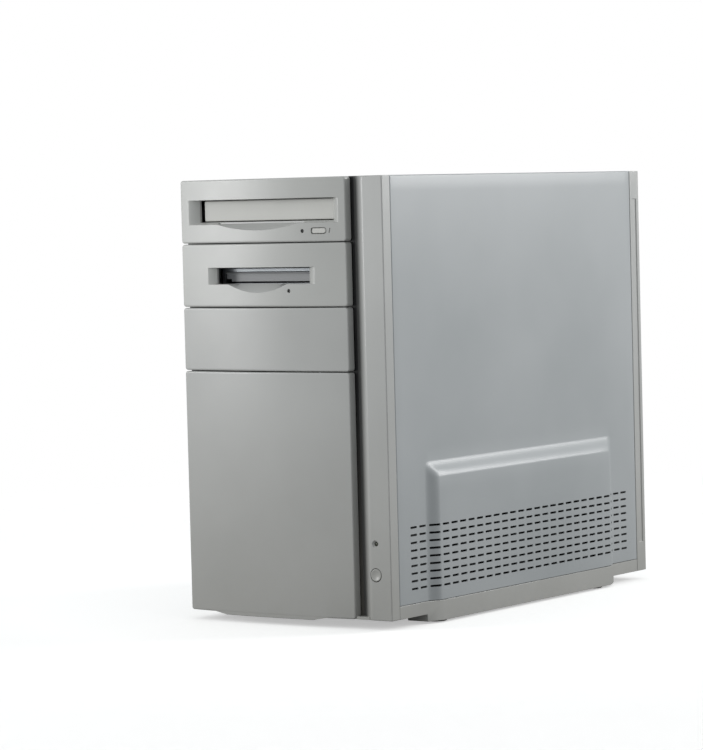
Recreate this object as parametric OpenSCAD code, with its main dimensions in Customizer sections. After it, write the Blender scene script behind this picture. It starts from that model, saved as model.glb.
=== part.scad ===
// Desktop computer tower, millimetres.
// +Z is up, the front faces -Y and the origin is on the desk under the middle of the tower.

/* [Body] */
// Width over the flat side covers
body_w = 205; // [205:1:215]
// Depth from the column's front face to the rear edge
body_d = 404; // [404:1:420]
// Height of the body, without the plinth and the feet
body_h = 360; // [360:1:370]
// How far the front fascias bulge ahead of the column
front_bulge = 5; // [3:0.5:7]
// Depth of the front bezel's side strip
bezel_d = 11; // [9:0.5:12]
// Depth of the rear surround
surround_d = 14.7; // [13:0.1:17]
// Height of the plinth runners below the body
plinth_h = 6; // [4:1:8]
// Thickness of the rubber pads
pad_h = 2; // [1:0.5:4]

/* [Side covers] */
// How far the lower part of each cover stands out
emboss = 6; // [3:0.5:8]
// Height of the raised part above the bottom of the body
emboss_h = 126; // [110:1:140]
// Distance from the front corner to the raised part
emboss_front = 51; // [45:1:60]
// Length of the raised part along the side
emboss_len = 296; // [280:1:300]
// Width of the slope around the raised part
emboss_ramp = 14; // [8:1:20]
// Vent slots along the side
vent_columns = 27; // [5:1:27]
// Rows of vent slots
vent_rows = 9; // [3:1:9]
// Distance between the vent columns
vent_pitch_y = 12.8; // [12.8:0.1:13]
// Distance between the vent rows
vent_pitch_z = 6.27; // [5:0.01:6.3]

/* [Front] */
// Width of the column that carries the power button
column_w = 24; // [20:1:26]
// Width of the dark groove beside the column
groove_w = 12.5; // [12:0.5:13]
// Height of one drive fascia with its gap
fascia_pitch = 52.9; // [52.9:0.1:54]
// Gap between fascias
fascia_gap = 0.9; // [0.5:0.1:1.2]
// Corner radius of the fascias
fascia_r = 2.5; // [1:0.5:4]
// How far the disc tray runs out
tray_travel = 130; // [100:5:135]

/* [Sheet and mouldings] */
// Thickness of the steel sheet
sheet = 1; // [0.8:0.1:1.2]
// Wall thickness of the plastic mouldings
wall = 2.4; // [2:0.1:2.6]

/* [Hidden] */
$fn = 48;

half_w = body_w / 2;
y_front = -(body_d + front_bulge) / 2 + front_bulge;
y_back = y_front + body_d;
z_low = plinth_h + pad_h;
z_top = z_low + body_h;
gap = 0.5;
eps = 0.01;
cut = 1;

// Seams
y_seam = y_front + bezel_d;
y_rear_seam = y_back - surround_d;
skirt_h = 10.8;
z_skirt = z_low + skirt_h;

// Front layout: x of the fascias, measured from the middle of the tower
groove_x = half_w - column_w;
fascia_right = groove_x - groove_w;
fascia_cx = (fascia_right - half_w) / 2;
fascia_half = (fascia_right + half_w) / 2;
bulge_r = (fascia_half * fascia_half + front_bulge * front_bulge) / (2 * front_bulge);
fascia_slope = 1;
fascia_back = y_front + 7.7;
z_gap = [z_top, z_top - fascia_pitch, z_top - 2 * fascia_pitch, z_top - 3 * fascia_pitch, z_low];
lip_drop = 2.2;
lip_half = 44.5;
lip_ramp = 12;

// Disc drive
cd_x = -15.5;
cd_w = 146;
cd_h = 41.3;
cd_len = 190;
cd_z = z_top - 47;
cd_y = y_front + 12.5;
tray_z = z_top - 34.6;
tray_h = 17.2;
tray_front_w = 133;
tray_front_y = y_front + 6;
tray_front_t = 3.5;
cd_recess_y = y_front + 3.5;
cd_open = [cd_x - 69.5, cd_x + 67.5];
cd_mouth = [cd_x - 78.6, cd_x + 76.6];
cd_button = [40.9, z_top - 43.6];
cd_led = [25.2, z_top - 43.6];
cd_slit_x = 51.2;
cd_scoop_x = -20.5;

// Floppy drive
fd_x = -18.85;
fd_w = 101.6;
fd_h = 25.4;
fd_len = 146;
fd_y = y_front + 12;
fd_z = z_top - 99.6;
slot_w = 95;
slot_z = [z_top - 86.4, z_top - 73.2];
fd_recess_y = y_front + 0.5;
flap_z = [z_top - 84.9, z_top - 77];
flap_t = 1.2;
flap_pin_r = 0.9;
fd_led = [10.6, z_top - 92.4];
fd_scoop_x = -21.5;

// Column
button_x = half_w - 15;
button_z = z_low + 37;
button_r = 5.2;
button_travel = 3;
led_z = z_low + 62.2;
led_r = 1.5;
switch_y = y_front + 12;

// Chassis
frame_y = y_front + 13;
panel_y = y_back - 11;
pan_z = z_low + 3;
tray_x = 89;
top_z = z_top - 4.2;
cage_y = [frame_y + sheet, frame_y + sheet + 140];
cage_x = [cd_x - cd_w / 2 - 0.5, cd_x + cd_w / 2 + 0.5];
cage_bottom = z_top - 162;

// Power supply
psu_lo = [-70, panel_y - 0.3 - 140, z_top - 92];
psu_hi = [80, panel_y - 0.3, z_top - 6];
psu_fan = [-21, z_top - 49];
fan_size = 80;
fan_t = 25;
inlet = [45, z_top - 31];
rocker = [45, z_top - 67];
rocker_tilt = 8;

// Main board
board_x = 81.4;
board_t = 1.6;
board_lo = [board_x, panel_y - 2.5 - 244, z_low + 16];
board_hi = [board_x + board_t, panel_y - 2.5, z_low + 16 + 244];
slot_pitch = 20.32;
slot_z0 = z_low + 26;
slots = [for (i = [0:3]) slot_z0 + i * slot_pitch];
io_lo = [38, z_low + 98];
io_hi = [82.5, z_low + 256.75];
rear_fan = [-45, z_low + 212];
cpu_pos = [60, z_low + 195];
cpu_fan_size = 60;
cpu_fan_t = 15;
standoff_yz = [for (y = [board_lo[1] + 8, board_lo[1] + 106, board_hi[1] - 26],
    z = [board_lo[2] + 8, board_hi[2] - 8]) [y, z]];

// Screws
screw_r = 1.6;
screw_len = 5;
screw_head_r = 3.6;
screw_head_h = 2.4;
psu_screws = [[psu_lo[0] + 6, psu_hi[2] - 6], [psu_hi[0] - 6, psu_hi[2] - 6],
    [psu_lo[0] + 6, psu_lo[2] + 6], [psu_hi[0] - 6, psu_lo[2] + 6]];
slot_screw_x = -31;
drive_screw_y = [cage_y[0] + 45, cage_y[0] + 105];
drive_screw_z = [cd_z + 10, cd_z + 31];

// ---------- helpers ----------

// Box between two corners
module box(lo, hi) {
    translate(lo)
        cube(hi - lo);
}

// Flat rounded rectangle with its corner at the origin
module rounded_rect(w, h, r) {
    translate([r, 0])
        square([w - 2 * r, h]);
    translate([0, r])
        square([w, h - 2 * r]);
    for (x = [r, w - r], y = [r, h - r])
        translate([x, y])
            circle(r);
}

// Slab with rounded corners seen from the front
module slab_y(lo, hi, r) {
    translate([lo[0], hi[1], lo[2]])
        rotate([90, 0, 0])
            linear_extrude(hi[1] - lo[1])
                rounded_rect(hi[0] - lo[0], hi[2] - lo[2], r);
}

// Rod along Y, from y0 to y1, at x and z
module rod_y(x, z, y0, y1, r) {
    translate([x, y0, z])
        rotate([-90, 0, 0])
            cylinder(r = r, h = y1 - y0);
}

// Rod along X, from x0 to x1, at y and z
module rod_x(y, z, x0, x1, r) {
    translate([x0, y, z])
        rotate([0, 90, 0])
            cylinder(r = r, h = x1 - x0);
}

// Round lead swept along a list of points, with a ring of eight sides at each point
module lead(points, r) {
    sides = 8;
    n = len(points);
    function unit(v) = v / norm(v);
    function heading(i) = unit(points[min(i + 1, n - 1)] - points[max(i - 1, 0)]);
    function side_of(d) = unit(cross(d, [0.31, 0.17, 0.93]));
    rings = [for (i = [0:n - 1]) let (d = heading(i), u = side_of(d), w = cross(d, u))
        for (k = [0:sides - 1]) points[i] + r * (cos(k * 360 / sides) * u + sin(k * 360 / sides) * w)];
    walls = [for (i = [0:n - 2], k = [0:sides - 1]) let (a = i * sides + k, b = i * sides + (k + 1) % sides)
        [a, a + sides, b + sides, b]];
    ends = [[for (k = [0:sides - 1]) k], [for (k = [sides - 1:-1:0]) (n - 1) * sides + k]];
    polyhedron(rings, concat(walls, ends), convexity = 6);
}

// Square fan housing, axis along +Z, back plate at z = 0
module fan_frame(size, depth) {
    duct_r = size / 2 - 2;
    hub_r = size * 0.22;
    web = 2;
    arm = 4;
    hole_off = size / 2 - size * 0.055;
    hole_r = 2.1;
    bearing_r = 1.55;
    difference() {
        translate([-size / 2, -size / 2, 0])
            linear_extrude(depth)
                rounded_rect(size, size, 4);
        translate([0, 0, web])
            cylinder(r = duct_r, h = depth, $fn = 96);
        // the back plate keeps a hub on four arms
        translate([0, 0, -cut])
            linear_extrude(web + 2 * cut)
                difference() {
                    circle(r = duct_r, $fn = 96);
                    circle(r = hub_r);
                    for (a = [45, 135])
                        rotate(a)
                            translate([-size, -arm / 2])
                                square([2 * size, arm]);
                }
        translate([0, 0, -cut])
            cylinder(r = bearing_r, h = web + 2 * cut, $fn = 24);
        for (x = [-hole_off, hole_off], y = [-hole_off, hole_off])
            translate([x, y, -cut])
                cylinder(r = hole_r, h = depth + 2 * cut, $fn = 24);
    }
}

// Seven-bladed rotor with its shaft, axis along +Z
module fan_rotor(size, depth) {
    hub_r = size * 0.21;
    tip_r = size / 2 - 3;
    web = 2;
    low = web + 0.8;
    high = depth - 1.2;
    blades = 7;
    blade_t = 1.4;
    pitch = 38;
    chord = (high - low - blade_t) / sin(pitch);
    shaft_r = 1.5;
    translate([0, 0, low])
        cylinder(r = hub_r, h = high - low);
    translate([0, 0, 0.4])
        cylinder(r = shaft_r, h = low, $fn = 24);
    intersection() {
        for (i = [0:blades - 1])
            rotate(i * 360 / blades)
                translate([hub_r - 1, 0, (low + high) / 2])
                    rotate([pitch, 0, 0])
                        translate([0, -chord / 2, -blade_t / 2])
                            cube([tip_r - hub_r + 2, chord, blade_t]);
        translate([0, 0, low])
            cylinder(r = tip_r, h = high - low, $fn = 96);
    }
}

// Hex-washer screw; the underside of its head is at the origin and it points along -Z
module screw() {
    translate([0, 0, -screw_len])
        cylinder(r = screw_r, h = screw_len, $fn = 24);
    cylinder(r = screw_head_r, h = 0.8, $fn = 24);
    cylinder(r = screw_head_r - 0.6, h = screw_head_h, $fn = 6);
}

// ---------- front ----------

// Plan of a fascia from above, drawn in by t, with its left side at x_left
module fascia_plan(t, x_left) {
    intersection() {
        translate([fascia_cx, y_front - front_bulge + bulge_r])
            circle(r = bulge_r - t, $fn = 720);
        polygon([[x_left, fascia_back + cut],
            [x_left, y_front - front_bulge - cut],
            [fascia_right - fascia_slope - t, y_front - front_bulge - cut],
            [fascia_right - t, y_front + 1],
            [fascia_right - t, fascia_back + cut]]);
    }
}

// Hollow fascia between two heights, open at the back
module fascia_shell(z0, z1) {
    difference() {
        intersection() {
            translate([0, 0, z0])
                linear_extrude(z1 - z0)
                    fascia_plan(0, -half_w - cut);
            slab_y([-half_w, y_front - front_bulge - cut, z0], [fascia_right, fascia_back, z1], fascia_r);
        }
        translate([0, 0, z0 + wall])
            linear_extrude(z1 - z0 - 2 * wall)
                fascia_plan(wall, -half_w + wall);
    }
}

// Wedge-sided recess: mouth on the surface, floor at y_floor
module recess(mouth, floor_x, mouth_z, floor_z, y_floor) {
    y_out = y_front - front_bulge - cut;
    intersection() {
        translate([0, 0, mouth_z[0]])
            linear_extrude(mouth_z[1] - mouth_z[0])
                polygon([[mouth[0], y_out], [mouth[0], y_front - 1], [floor_x[0], y_floor],
                    [floor_x[1], y_floor], [mouth[1], y_front - 1], [mouth[1], y_out]]);
        translate([mouth[0], 0, 0])
            rotate([90, 0, 90])
                linear_extrude(mouth[1] - mouth[0])
                    polygon([[y_out, mouth_z[1]], [y_floor, floor_z[1]], [y_floor, floor_z[0]],
                        [y_front - 3, mouth_z[0]], [y_out, mouth_z[0]]]);
    }
}

// Solid block behind a recess, so that the recess has walls
module recess_block(x, z, y_floor) {
    intersection() {
        translate([0, 0, z[0]])
            linear_extrude(z[1] - z[0])
                fascia_plan(wall - eps, -half_w + wall);
        box([x[0], y_front - front_bulge, z[0]], [x[1], y_floor + wall, z[1]]);
    }
}

// Curved finger cut below a slot
module scoop(x, z_edge, half_chord, drop, y_deep) {
    r = (half_chord * half_chord + drop * drop) / (2 * drop);
    intersection() {
        rod_y(x, z_edge - drop + r, y_front - front_bulge - cut, y_deep, r, $fn = 360);
        box([x - half_chord, y_front - front_bulge - cut, z_edge - drop],
            [x + half_chord, y_deep, z_edge + drop]);
    }
}

module front_bezel() {
    back_wall = 2.5;
    bay_w = [cage_x[0], cage_x[1]];
    bay_margin = 5;
    y0 = y_seam - back_wall;
    // S-shaped slope from the back of the groove to the face of the column
    cove_x = [groove_x - 9.5, groove_x + 5];
    cove_steps = 12;
    cove = [for (i = [0:cove_steps]) let (t = i / cove_steps, rise = t * t * (3 - 2 * t))
        [cove_x[0] + t * (cove_x[1] - cove_x[0]), y0 + rise * (y_front - y0)]];
    color("#c9cac6")
    difference() {
        union() {
            // column: a channel open to the back
            difference() {
                translate([0, 0, z_low])
                    linear_extrude(body_h)
                        polygon(concat([[half_w - 0.6, y_front], [half_w, y_front + 0.6], [half_w, y_seam],
                            [cove_x[0], y_seam]], cove));
                box([cove_x[1], y_front + wall, z_low + wall], [half_w - wall, y_seam + cut, z_top - wall]);
                box([groove_x + 1, y_front + 6, z_low + wall], [half_w - wall, y_seam + cut, z_top - wall]);
            }
            // back plate behind the fascias
            box([-half_w, y0, z_low], [groove_x - 1, y_seam, z_top]);
            // little lip that closes the groove at the foot
            box([fascia_right + gap, y_front + 1, z_low], [groove_x + 1, y_seam, z_low + wall]);
            // guide tube of the power button
            rod_y(button_x, button_z, y_front + wall - eps, y_front + 8, button_r + 2);
        }
        // bay mouths
        for (i = [0:2])
            box([bay_w[0], y0 - cut, z_gap[i + 1] + bay_margin],
                [bay_w[1], y_seam + cut, z_gap[i] - bay_margin]);
        box([bay_w[0], y0 - cut, z_low + 20], [bay_w[1], y_seam + cut, z_gap[3] - 20]);
        rod_y(button_x, button_z, y_front - cut, y_seam + cut, button_r + 0.5);
        rod_y(button_x, led_z, y_front - cut, y_seam + cut, led_r + 0.3);
        translate([button_x, y_front - eps, led_z])
            rotate([-90, 0, 0])
                cylinder(r1 = led_r + 1.6, r2 = led_r + 0.3, h = 1.4);
    }
}

module cd_fascia() {
    mouth_z = [z_top - 37.2, z_top - 16.6];
    floor_z = [tray_z - 0.6, z_top - 17];
    color("#cfd0cc")
    difference() {
        union() {
            fascia_shell(z_gap[1] + fascia_gap / 2, z_top);
            recess_block([cd_mouth[0] - wall, cd_mouth[1] + wall],
                [mouth_z[0] - 7, mouth_z[1] + wall], cd_recess_y);
        }
        recess(cd_mouth, cd_open, mouth_z, floor_z, cd_recess_y + eps);
        box([cd_open[0], cd_recess_y - cut, floor_z[0]], [cd_open[1], fascia_back + cut, floor_z[1]]);
        scoop(cd_scoop_x, mouth_z[0], 44, 5, cd_recess_y);
        rod_y(cd_led[0], cd_led[1], y_front - 2 * front_bulge, fascia_back, led_r + 0.05);
        box([cd_slit_x - 0.5, y_front - front_bulge, cd_led[1] - 2],
            [cd_slit_x + 0.5, fascia_back, cd_led[1] + 2]);
        slab_y([cd_button[0] - 7.4, y_front - 2 * front_bulge, cd_button[1] - 2.6],
            [cd_button[0] + 7.4, fascia_back, cd_button[1] + 2.6], 2.4);
    }
}

module floppy_fascia() {
    mouth_x = [fd_x - 56.4, fd_x + 56.4];
    slot_x = [fd_x - slot_w / 2, fd_x + slot_w / 2];
    color("#cbccc8")
    difference() {
        union() {
            fascia_shell(z_gap[2] + fascia_gap / 2, z_gap[1] - fascia_gap / 2);
            recess_block([mouth_x[0] - wall, mouth_x[1] + wall],
                [slot_z[0] - 10, slot_z[1] + wall], fd_recess_y);
        }
        recess(mouth_x, slot_x, [slot_z[0] - 0.4, slot_z[1] + 0.4], slot_z, fd_recess_y + eps);
        box([slot_x[0], fd_recess_y - cut, slot_z[0]], [slot_x[1], fascia_back + cut, slot_z[1]]);
        scoop(fd_scoop_x, slot_z[0], 32, 7.6, fd_recess_y);
        rod_y(fd_led[0], fd_led[1], y_front - 2 * front_bulge, fascia_back, led_r + 0.05);
    }
}

module blank_fascia() {
    color("#c6c8c5")
    fascia_shell(z_gap[3] + fascia_gap / 2, z_gap[2] - fascia_gap / 2);
}

module lower_fascia() {
    lip_y = [y_front - front_bulge, y_front + 1];
    color("#c4c6c3") {
        fascia_shell(z_low, z_gap[3] - fascia_gap / 2);
        intersection() {
            translate([0, 0, z_low - lip_drop])
                linear_extrude(lip_drop)
                    fascia_plan(0, -half_w);
            translate([0, lip_y[1], 0])
                rotate([90, 0, 0])
                    linear_extrude(lip_y[1] - lip_y[0])
                        polygon([[fascia_cx - lip_half - lip_ramp, z_low],
                            [fascia_cx - lip_half, z_low - lip_drop],
                            [fascia_cx + lip_half, z_low - lip_drop],
                                [fascia_cx + lip_half + lip_ramp, z_low]]);
        }
    }
}

module power_button() {
    cap_r = button_r - 0.1;
    flange_r = button_r + 1.6;

    flange_y = y_front + 8.4;
    color("#c6c7c4") {
        rod_y(button_x, button_z, y_front - 0.2, flange_y + eps, cap_r);
        rod_y(button_x, button_z, flange_y, flange_y + 1.2, flange_r);
    }
}

module power_led() {
    color("#4f7d43")
    rod_y(button_x, led_z, y_front + 1.4, switch_y + 1.7, led_r);
}

module front_switch_board() {
    pcb = 1.6;
    y0 = switch_y + button_travel + 1.2;
    color("#3d6b4a") {
        difference() {
            box([button_x - 7, y0, button_z - 10], [button_x + 6, y0 + pcb, led_z + 8]);
            rod_y(button_x, button_z - 7.5, y0 - cut, y0 + pcb + cut, 1);
        }
        // switch body and plunger, clear of the button by its travel
        box([button_x - 3.5, y0 - 1.2, button_z - 3.5], [button_x + 3.5, y0, button_z + 3.5]);
        box([button_x - 2, y0 - 2.4, led_z - 2], [button_x + 2, y0, led_z + 2]);
    }
}

// ---------- shell ----------

// Outline of the raised part of a cover, drawn in by t; the cover's face is x = 0
module emboss_body(t, z0) {
    y0 = y_front + emboss_front;
    y1 = y0 + emboss_len;
    ze = z_low + emboss_h;
    intersection() {
        translate([0, 0, z0 - cut])
            linear_extrude(ze - z0 + 2 * cut)
                polygon([[-t - cut, y0], [-t, y0], [emboss - t, y0 + emboss_ramp],
                    [emboss - t, y1 - emboss_ramp], [-t, y1], [-t - cut, y1]]);
        translate([0, y1 + cut, 0])
            rotate([90, 0, 0])
                linear_extrude(emboss_len + 2 * cut)
                    polygon([[-t - cut, z0], [emboss - t, z0], [emboss - t, ze - emboss_ramp],
                        [-t, ze], [-t - cut, ze]]);
    }
}

// Side cover for the right side; its outer face is at x = half_w
module side_cover() {
    flange = 8;
    y0 = y_seam + gap;
    y1 = y_rear_seam - gap;
    z0 = z_skirt + gap;
    z1 = z_top;
    vent_w = 9.6;
    vent_h = 1.8;
    vent_y = (y0 + y1) / 2 - (vent_columns - 1) / 2 * vent_pitch_y;
    vent_z = z_low + 23;
    translate([half_w, 0, 0])
    difference() {
        union() {
            box([-flange, y0, z0], [0, y1, z1]);
            emboss_body(0, z0);
        }
        box([-flange - cut, y0 + sheet, z0 + sheet], [-sheet, y1 - sheet, z1 - sheet]);
        box([-flange - cut, y0 - cut, z0 - cut], [-sheet, y1 + cut, z0 + sheet + eps]);
        emboss_body(sheet, z0 + sheet);
        for (i = [0:vent_columns - 1], j = [0:vent_rows - 1])
            translate([-2 * sheet, vent_y + i * vent_pitch_y - vent_w / 2,
                vent_z + j * vent_pitch_z - vent_h / 2])
                cube([emboss + 4 * sheet, vent_w, vent_h]);
    }
}

module right_cover() {
    color("#b9bebf")
    side_cover();
}

module left_cover() {
    color("#b9bebf")
    mirror([1, 0, 0])
        side_cover();
}

module top_cover() {
    edge = half_w - 8.5;
    color("#b9bebf")
    box([-edge, y_seam + gap, z_top - sheet], [edge, y_rear_seam - gap, z_top]);
}

module rear_surround() {
    band = 3;
    shallow = 0.8;
    mid = [z_low + 26, z_top - 25];
    color("#c2c4c1")
    difference() {
        box([-half_w, y_rear_seam, z_low], [half_w, y_back, z_top]);
        box([-half_w + band, y_rear_seam - cut, z_low + band], [half_w - band, y_back + cut, z_top - band]);
        for (s = [-1, 1])
            box([s * half_w - shallow, y_rear_seam + 4, mid[0]], [s * half_w + shallow, y_back - 4, mid[1]]);
    }
}

module base_skirt() {
    t = 2;
    y0 = y_seam + gap;
    y1 = y_rear_seam - gap;
    ya = y_front + emboss_front;
    yb = ya + emboss_len;
    runner_in = half_w - 20;
    color("#c0c2bf") {
        for (s = [-1, 1])
            mirror([s < 0 ? 1 : 0, 0, 0]) {
                    // side strip that follows the raised part of the cover
                    translate([half_w, 0, z_low])
                        linear_extrude(skirt_h)
                            polygon([[-t, y0], [0, y0], [0, ya], [emboss, ya + emboss_ramp],
                                [emboss, yb - emboss_ramp], [0, yb], [0, y1], [-t, y1]]);
                    // runner that carries the feet
                    translate([0, 0, z_low - plinth_h])
                        linear_extrude(plinth_h)
                            polygon([[runner_in, ya], [half_w, ya], [half_w + emboss, ya + emboss_ramp],
                                [half_w + emboss, yb - emboss_ramp], [half_w, yb], [runner_in, yb]]);
                    box([runner_in - 10, y0, z_low], [half_w - t, y1, z_low + 3]);
                }
        // cross bars
        box([-runner_in + 10, y0, z_low], [runner_in - 10, y0 + 30, z_low + 3]);
        box([-runner_in + 10, y1 - 30, z_low], [runner_in - 10, y1, z_low + 3]);
    }
}

module feet() {
    foot_r = 9;
    foot_x = half_w - 8;
    foot_y = [y_front + emboss_front + 24, y_front + emboss_front + emboss_len - 24];
    color("#3a3a3a")
    for (x = [-foot_x, foot_x], y = foot_y)
        translate([x, y, 0])
            cylinder(r = foot_r, h = pad_h);
}

// ---------- chassis ----------

module base_pan() {
    flange_h = 8;
    x1 = half_w - 3.5;
    color("#a9adb0")
    difference() {
        box([-x1, frame_y + sheet, pan_z], [x1, panel_y, pan_z + flange_h]);
        box([-x1 + sheet, frame_y, pan_z + sheet], [x1 - sheet, panel_y + cut, pan_z + flange_h + cut]);
    }
}

module rear_panel() {
    y1 = panel_y + sheet;
    x1 = half_w - 3;
    color("#b4b8ba")
    difference() {
        box([-x1, panel_y, pan_z + sheet], [x1, y1, z_top - 3]);
        // power supply window
        box([psu_lo[0] + 10, panel_y - cut, psu_lo[2] + 3.5], [psu_hi[0] - 10, y1 + cut, psu_hi[2] - 3.5]);
        // connector window
        box([io_lo[0], panel_y - cut, io_lo[1]], [io_hi[0], y1 + cut, io_hi[1]]);
        // card slots
        for (z = slots)
            box([-24, panel_y - cut, z - 6], [74, y1 + cut, z + 6]);
        for (z = slots)
            rod_y(slot_screw_x, z, panel_y - cut, y1 + cut, screw_r + 0.1);
        for (p = psu_screws)
            rod_y(p[0], p[1], panel_y - cut, y1 + cut, screw_r + 0.1);
        // fan grille: rows of slots inside the duct circle
        intersection() {
            rod_y(rear_fan[0], rear_fan[1], panel_y - cut, y1 + cut, 37);
            for (i = [-5:5])
                box([rear_fan[0] - 38, panel_y - cut, rear_fan[1] + i * 7 - 2.4],
                    [rear_fan[0] + 38, y1 + cut, rear_fan[1] + i * 7 + 2.4]);
        }
    }
}

module front_frame() {
    y1 = frame_y + sheet;
    x1 = half_w - 2.5;
    margin = 2;
    color("#b4b8ba")
    difference() {
        box([-x1, frame_y, pan_z], [x1, y1, top_z]);
        box([cage_x[0], frame_y - cut, cd_z - margin], [cage_x[1], y1 + cut, cd_z + cd_h + 1]);
        box([fd_x - fd_w / 2 - margin, frame_y - cut, fd_z - margin],
            [fd_x + fd_w / 2 + margin, y1 + cut, fd_z + fd_h + margin]);
        box([cage_x[0], frame_y - cut, z_gap[3] + 5], [cage_x[1], y1 + cut, z_gap[2] - 5]);
        // button window
        box([button_x - 9, frame_y - cut, button_z - 13], [button_x + 8, y1 + cut, led_z + 11]);
        // air holes in front of the lower chamber
        for (i = [0:8], j = [0:5])
            rod_y(-60 + i * 12, z_low + 90 + j * 12, frame_y - cut, y1 + cut, 3.5, $fn = 24);
    }
}

module board_tray() {
    color("#a9adb0")
    difference() {
        box([tray_x, board_lo[1] - 8, pan_z + sheet], [tray_x + sheet, panel_y, top_z]);
        for (p = standoff_yz)
            rod_x(p[0], p[1], tray_x - cut, tray_x + sheet + cut, 1.5, $fn = 24);
        // window behind the processor
        box([tray_x - cut, cpu_pos[0] - 40, cpu_pos[1] - 35],
            [tray_x + sheet + cut, cpu_pos[0] + 40, cpu_pos[1] + 35]);
    }
}

module top_brace() {
    x1 = half_w - 9;
    y = [frame_y + sheet, panel_y];
    rim = 16;
    bar_y = 25;
    color("#a9adb0")
    difference() {
        box([-x1, y[0], top_z], [x1, y[1], top_z + sheet]);
        box([-x1 + rim, y[0] + rim, top_z - cut], [x1 - rim, bar_y, top_z + sheet + cut]);
        box([-x1 + rim, bar_y + rim, top_z - cut], [x1 - rim, y[1] - rim, top_z + sheet + cut]);
    }
}

module bay_cage() {
    color("#b4b8ba")
    difference() {
        union() {
            box([cage_x[0] - sheet, cage_y[0], cage_bottom], [cage_x[0], cage_y[1], top_z]);
            box([cage_x[1], cage_y[0], cage_bottom], [cage_x[1] + sheet, cage_y[1], top_z]);
            box([cage_x[0] - sheet, cage_y[0], cage_bottom - sheet],
                [cage_x[1] + sheet, cage_y[1], cage_bottom]);
        }
        for (y = drive_screw_y, z = drive_screw_z)
            rod_x(y, z, cage_x[0] - 2 * sheet, cage_x[1] + 2 * sheet, screw_r + 0.1);
        // lightening holes beside the free bay
        for (y = [cage_y[0] + 30, cage_y[0] + 70, cage_y[0] + 110])
            rod_x(y, z_gap[3] + 26, cage_x[0] - 2 * sheet, cage_x[1] + 2 * sheet, 12);
    }
}

module hard_drive_cage() {
    x = [fd_x - 51.3, fd_x + 51.3];
    z = [cage_bottom - 50, cage_bottom - sheet];
    y1 = cage_y[0] + 150;
    color("#b4b8ba")
    difference() {
        box([x[0] - sheet, cage_y[0], z[0] - sheet], [x[1] + sheet, y1, z[1]]);
        box([x[0], cage_y[0] - cut, z[0]], [x[1], y1 + cut, z[1] + cut]);
        for (y = [cage_y[0] + 30, cage_y[0] + 75, cage_y[0] + 120])
            rod_x(y, z[0] + 38, x[0] - 2 * sheet, x[1] + 2 * sheet, 6);
    }
}

// ---------- drives ----------

module cd_drive_case() {
    t = 1;
    x = [cd_x - cd_w / 2, cd_x + cd_w / 2];
    color("#9fa4a7")
    difference() {
        box([x[0], cd_y, cd_z], [x[1], cd_y + cd_len, cd_z + cd_h]);
        box([x[0] + t, cd_y - cut, cd_z + t], [x[1] - t, cd_y + cd_len - t, cd_z + cd_h - t]);
        for (y = drive_screw_y, z = drive_screw_z)
            rod_x(y, z, x[0] - cut, x[1] + cut, screw_r + 0.05);
    }
    // data and power sockets at the back
    color("#2b2b2b")
    difference() {
        box([cd_x - 50, cd_y + cd_len - 8, cd_z + t], [cd_x + 46, cd_y + cd_len - t, cd_z + 12]);
        box([cd_x + 22, cd_y + cd_len - 9, cd_z + 3], [cd_x + 43, cd_y + cd_len, cd_z + 10]);
    }
}

module cd_tray() {
    t = 2.4;
    y0 = tray_front_y + tray_front_t;
    y1 = y0 + tray_travel + 28;
    half = 64;
    disc_r = 60.6;
    floor_z = tray_z + 4.5;
    disc_y = y0 + 66;
    color("#3b3c3e")
    difference() {
        box([cd_x - half, y0, floor_z], [cd_x + half, y1, floor_z + 7]);
        // recess for the disc
        translate([cd_x, disc_y, floor_z + t])
            cylinder(r = disc_r, h = 7, $fn = 96);
        translate([cd_x, disc_y, floor_z + t + 1.4])
            box([-20, -70 + 4, 0], [20, 66, 7]);
        // opening for the hub and the pickup
        translate([cd_x, disc_y, floor_z - cut])
            cylinder(r = 19, h = 7);
        box([cd_x - 19, disc_y, floor_z - cut], [cd_x + 19, disc_y + 52, floor_z + 9]);
    }
}

module cd_tray_front() {
    x = [cd_x - 69.5 + 2.9, cd_x - 69.5 + 2.9 + tray_front_w];
    color("#d4d5d1")
    slab_y([x[0], tray_front_y, tray_z], [x[1], tray_front_y + tray_front_t, tray_z + tray_h], 0.8);
}

module cd_eject_button() {
    w = 14;
    h = 4.4;
    y0 = y_front - front_bulge + 2.6;
    color("#cfd0cc") {
        slab_y([cd_button[0] - w / 2, y0, cd_button[1] - h / 2],
            [cd_button[0] + w / 2, fascia_back - 1.8, cd_button[1] + h / 2], h / 2 - eps);
        box([cd_button[0] - w / 2 - 1.5, fascia_back - 1.8, cd_button[1] - h / 2 - 1],
            [cd_button[0] + w / 2 + 1.5, fascia_back - 0.8, cd_button[1] + h / 2 + 1]);
    }
}

module cd_mechanism() {
    deck_z = cd_z + 4;
    hub_y = tray_front_y + tray_front_t + 66;
    color("#55585b") {
        box([cd_x - 52, cd_y + 10, deck_z - 3], [cd_x + 52, cd_y + 150, deck_z]);
        // turntable motor and hub, under the disc opening of the tray
        translate([cd_x, hub_y, deck_z])
            cylinder(r = 13, h = 7);
        // pickup on its two rails
        box([cd_x - 14, hub_y + 16, deck_z], [cd_x + 14, hub_y + 44, deck_z + 6.5]);
        for (s = [-1, 1])
            rod_y(cd_x + s * 17, deck_z + 2, cd_y + 60, cd_y + 148, 1.5, $fn = 24);
    }
}

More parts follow.
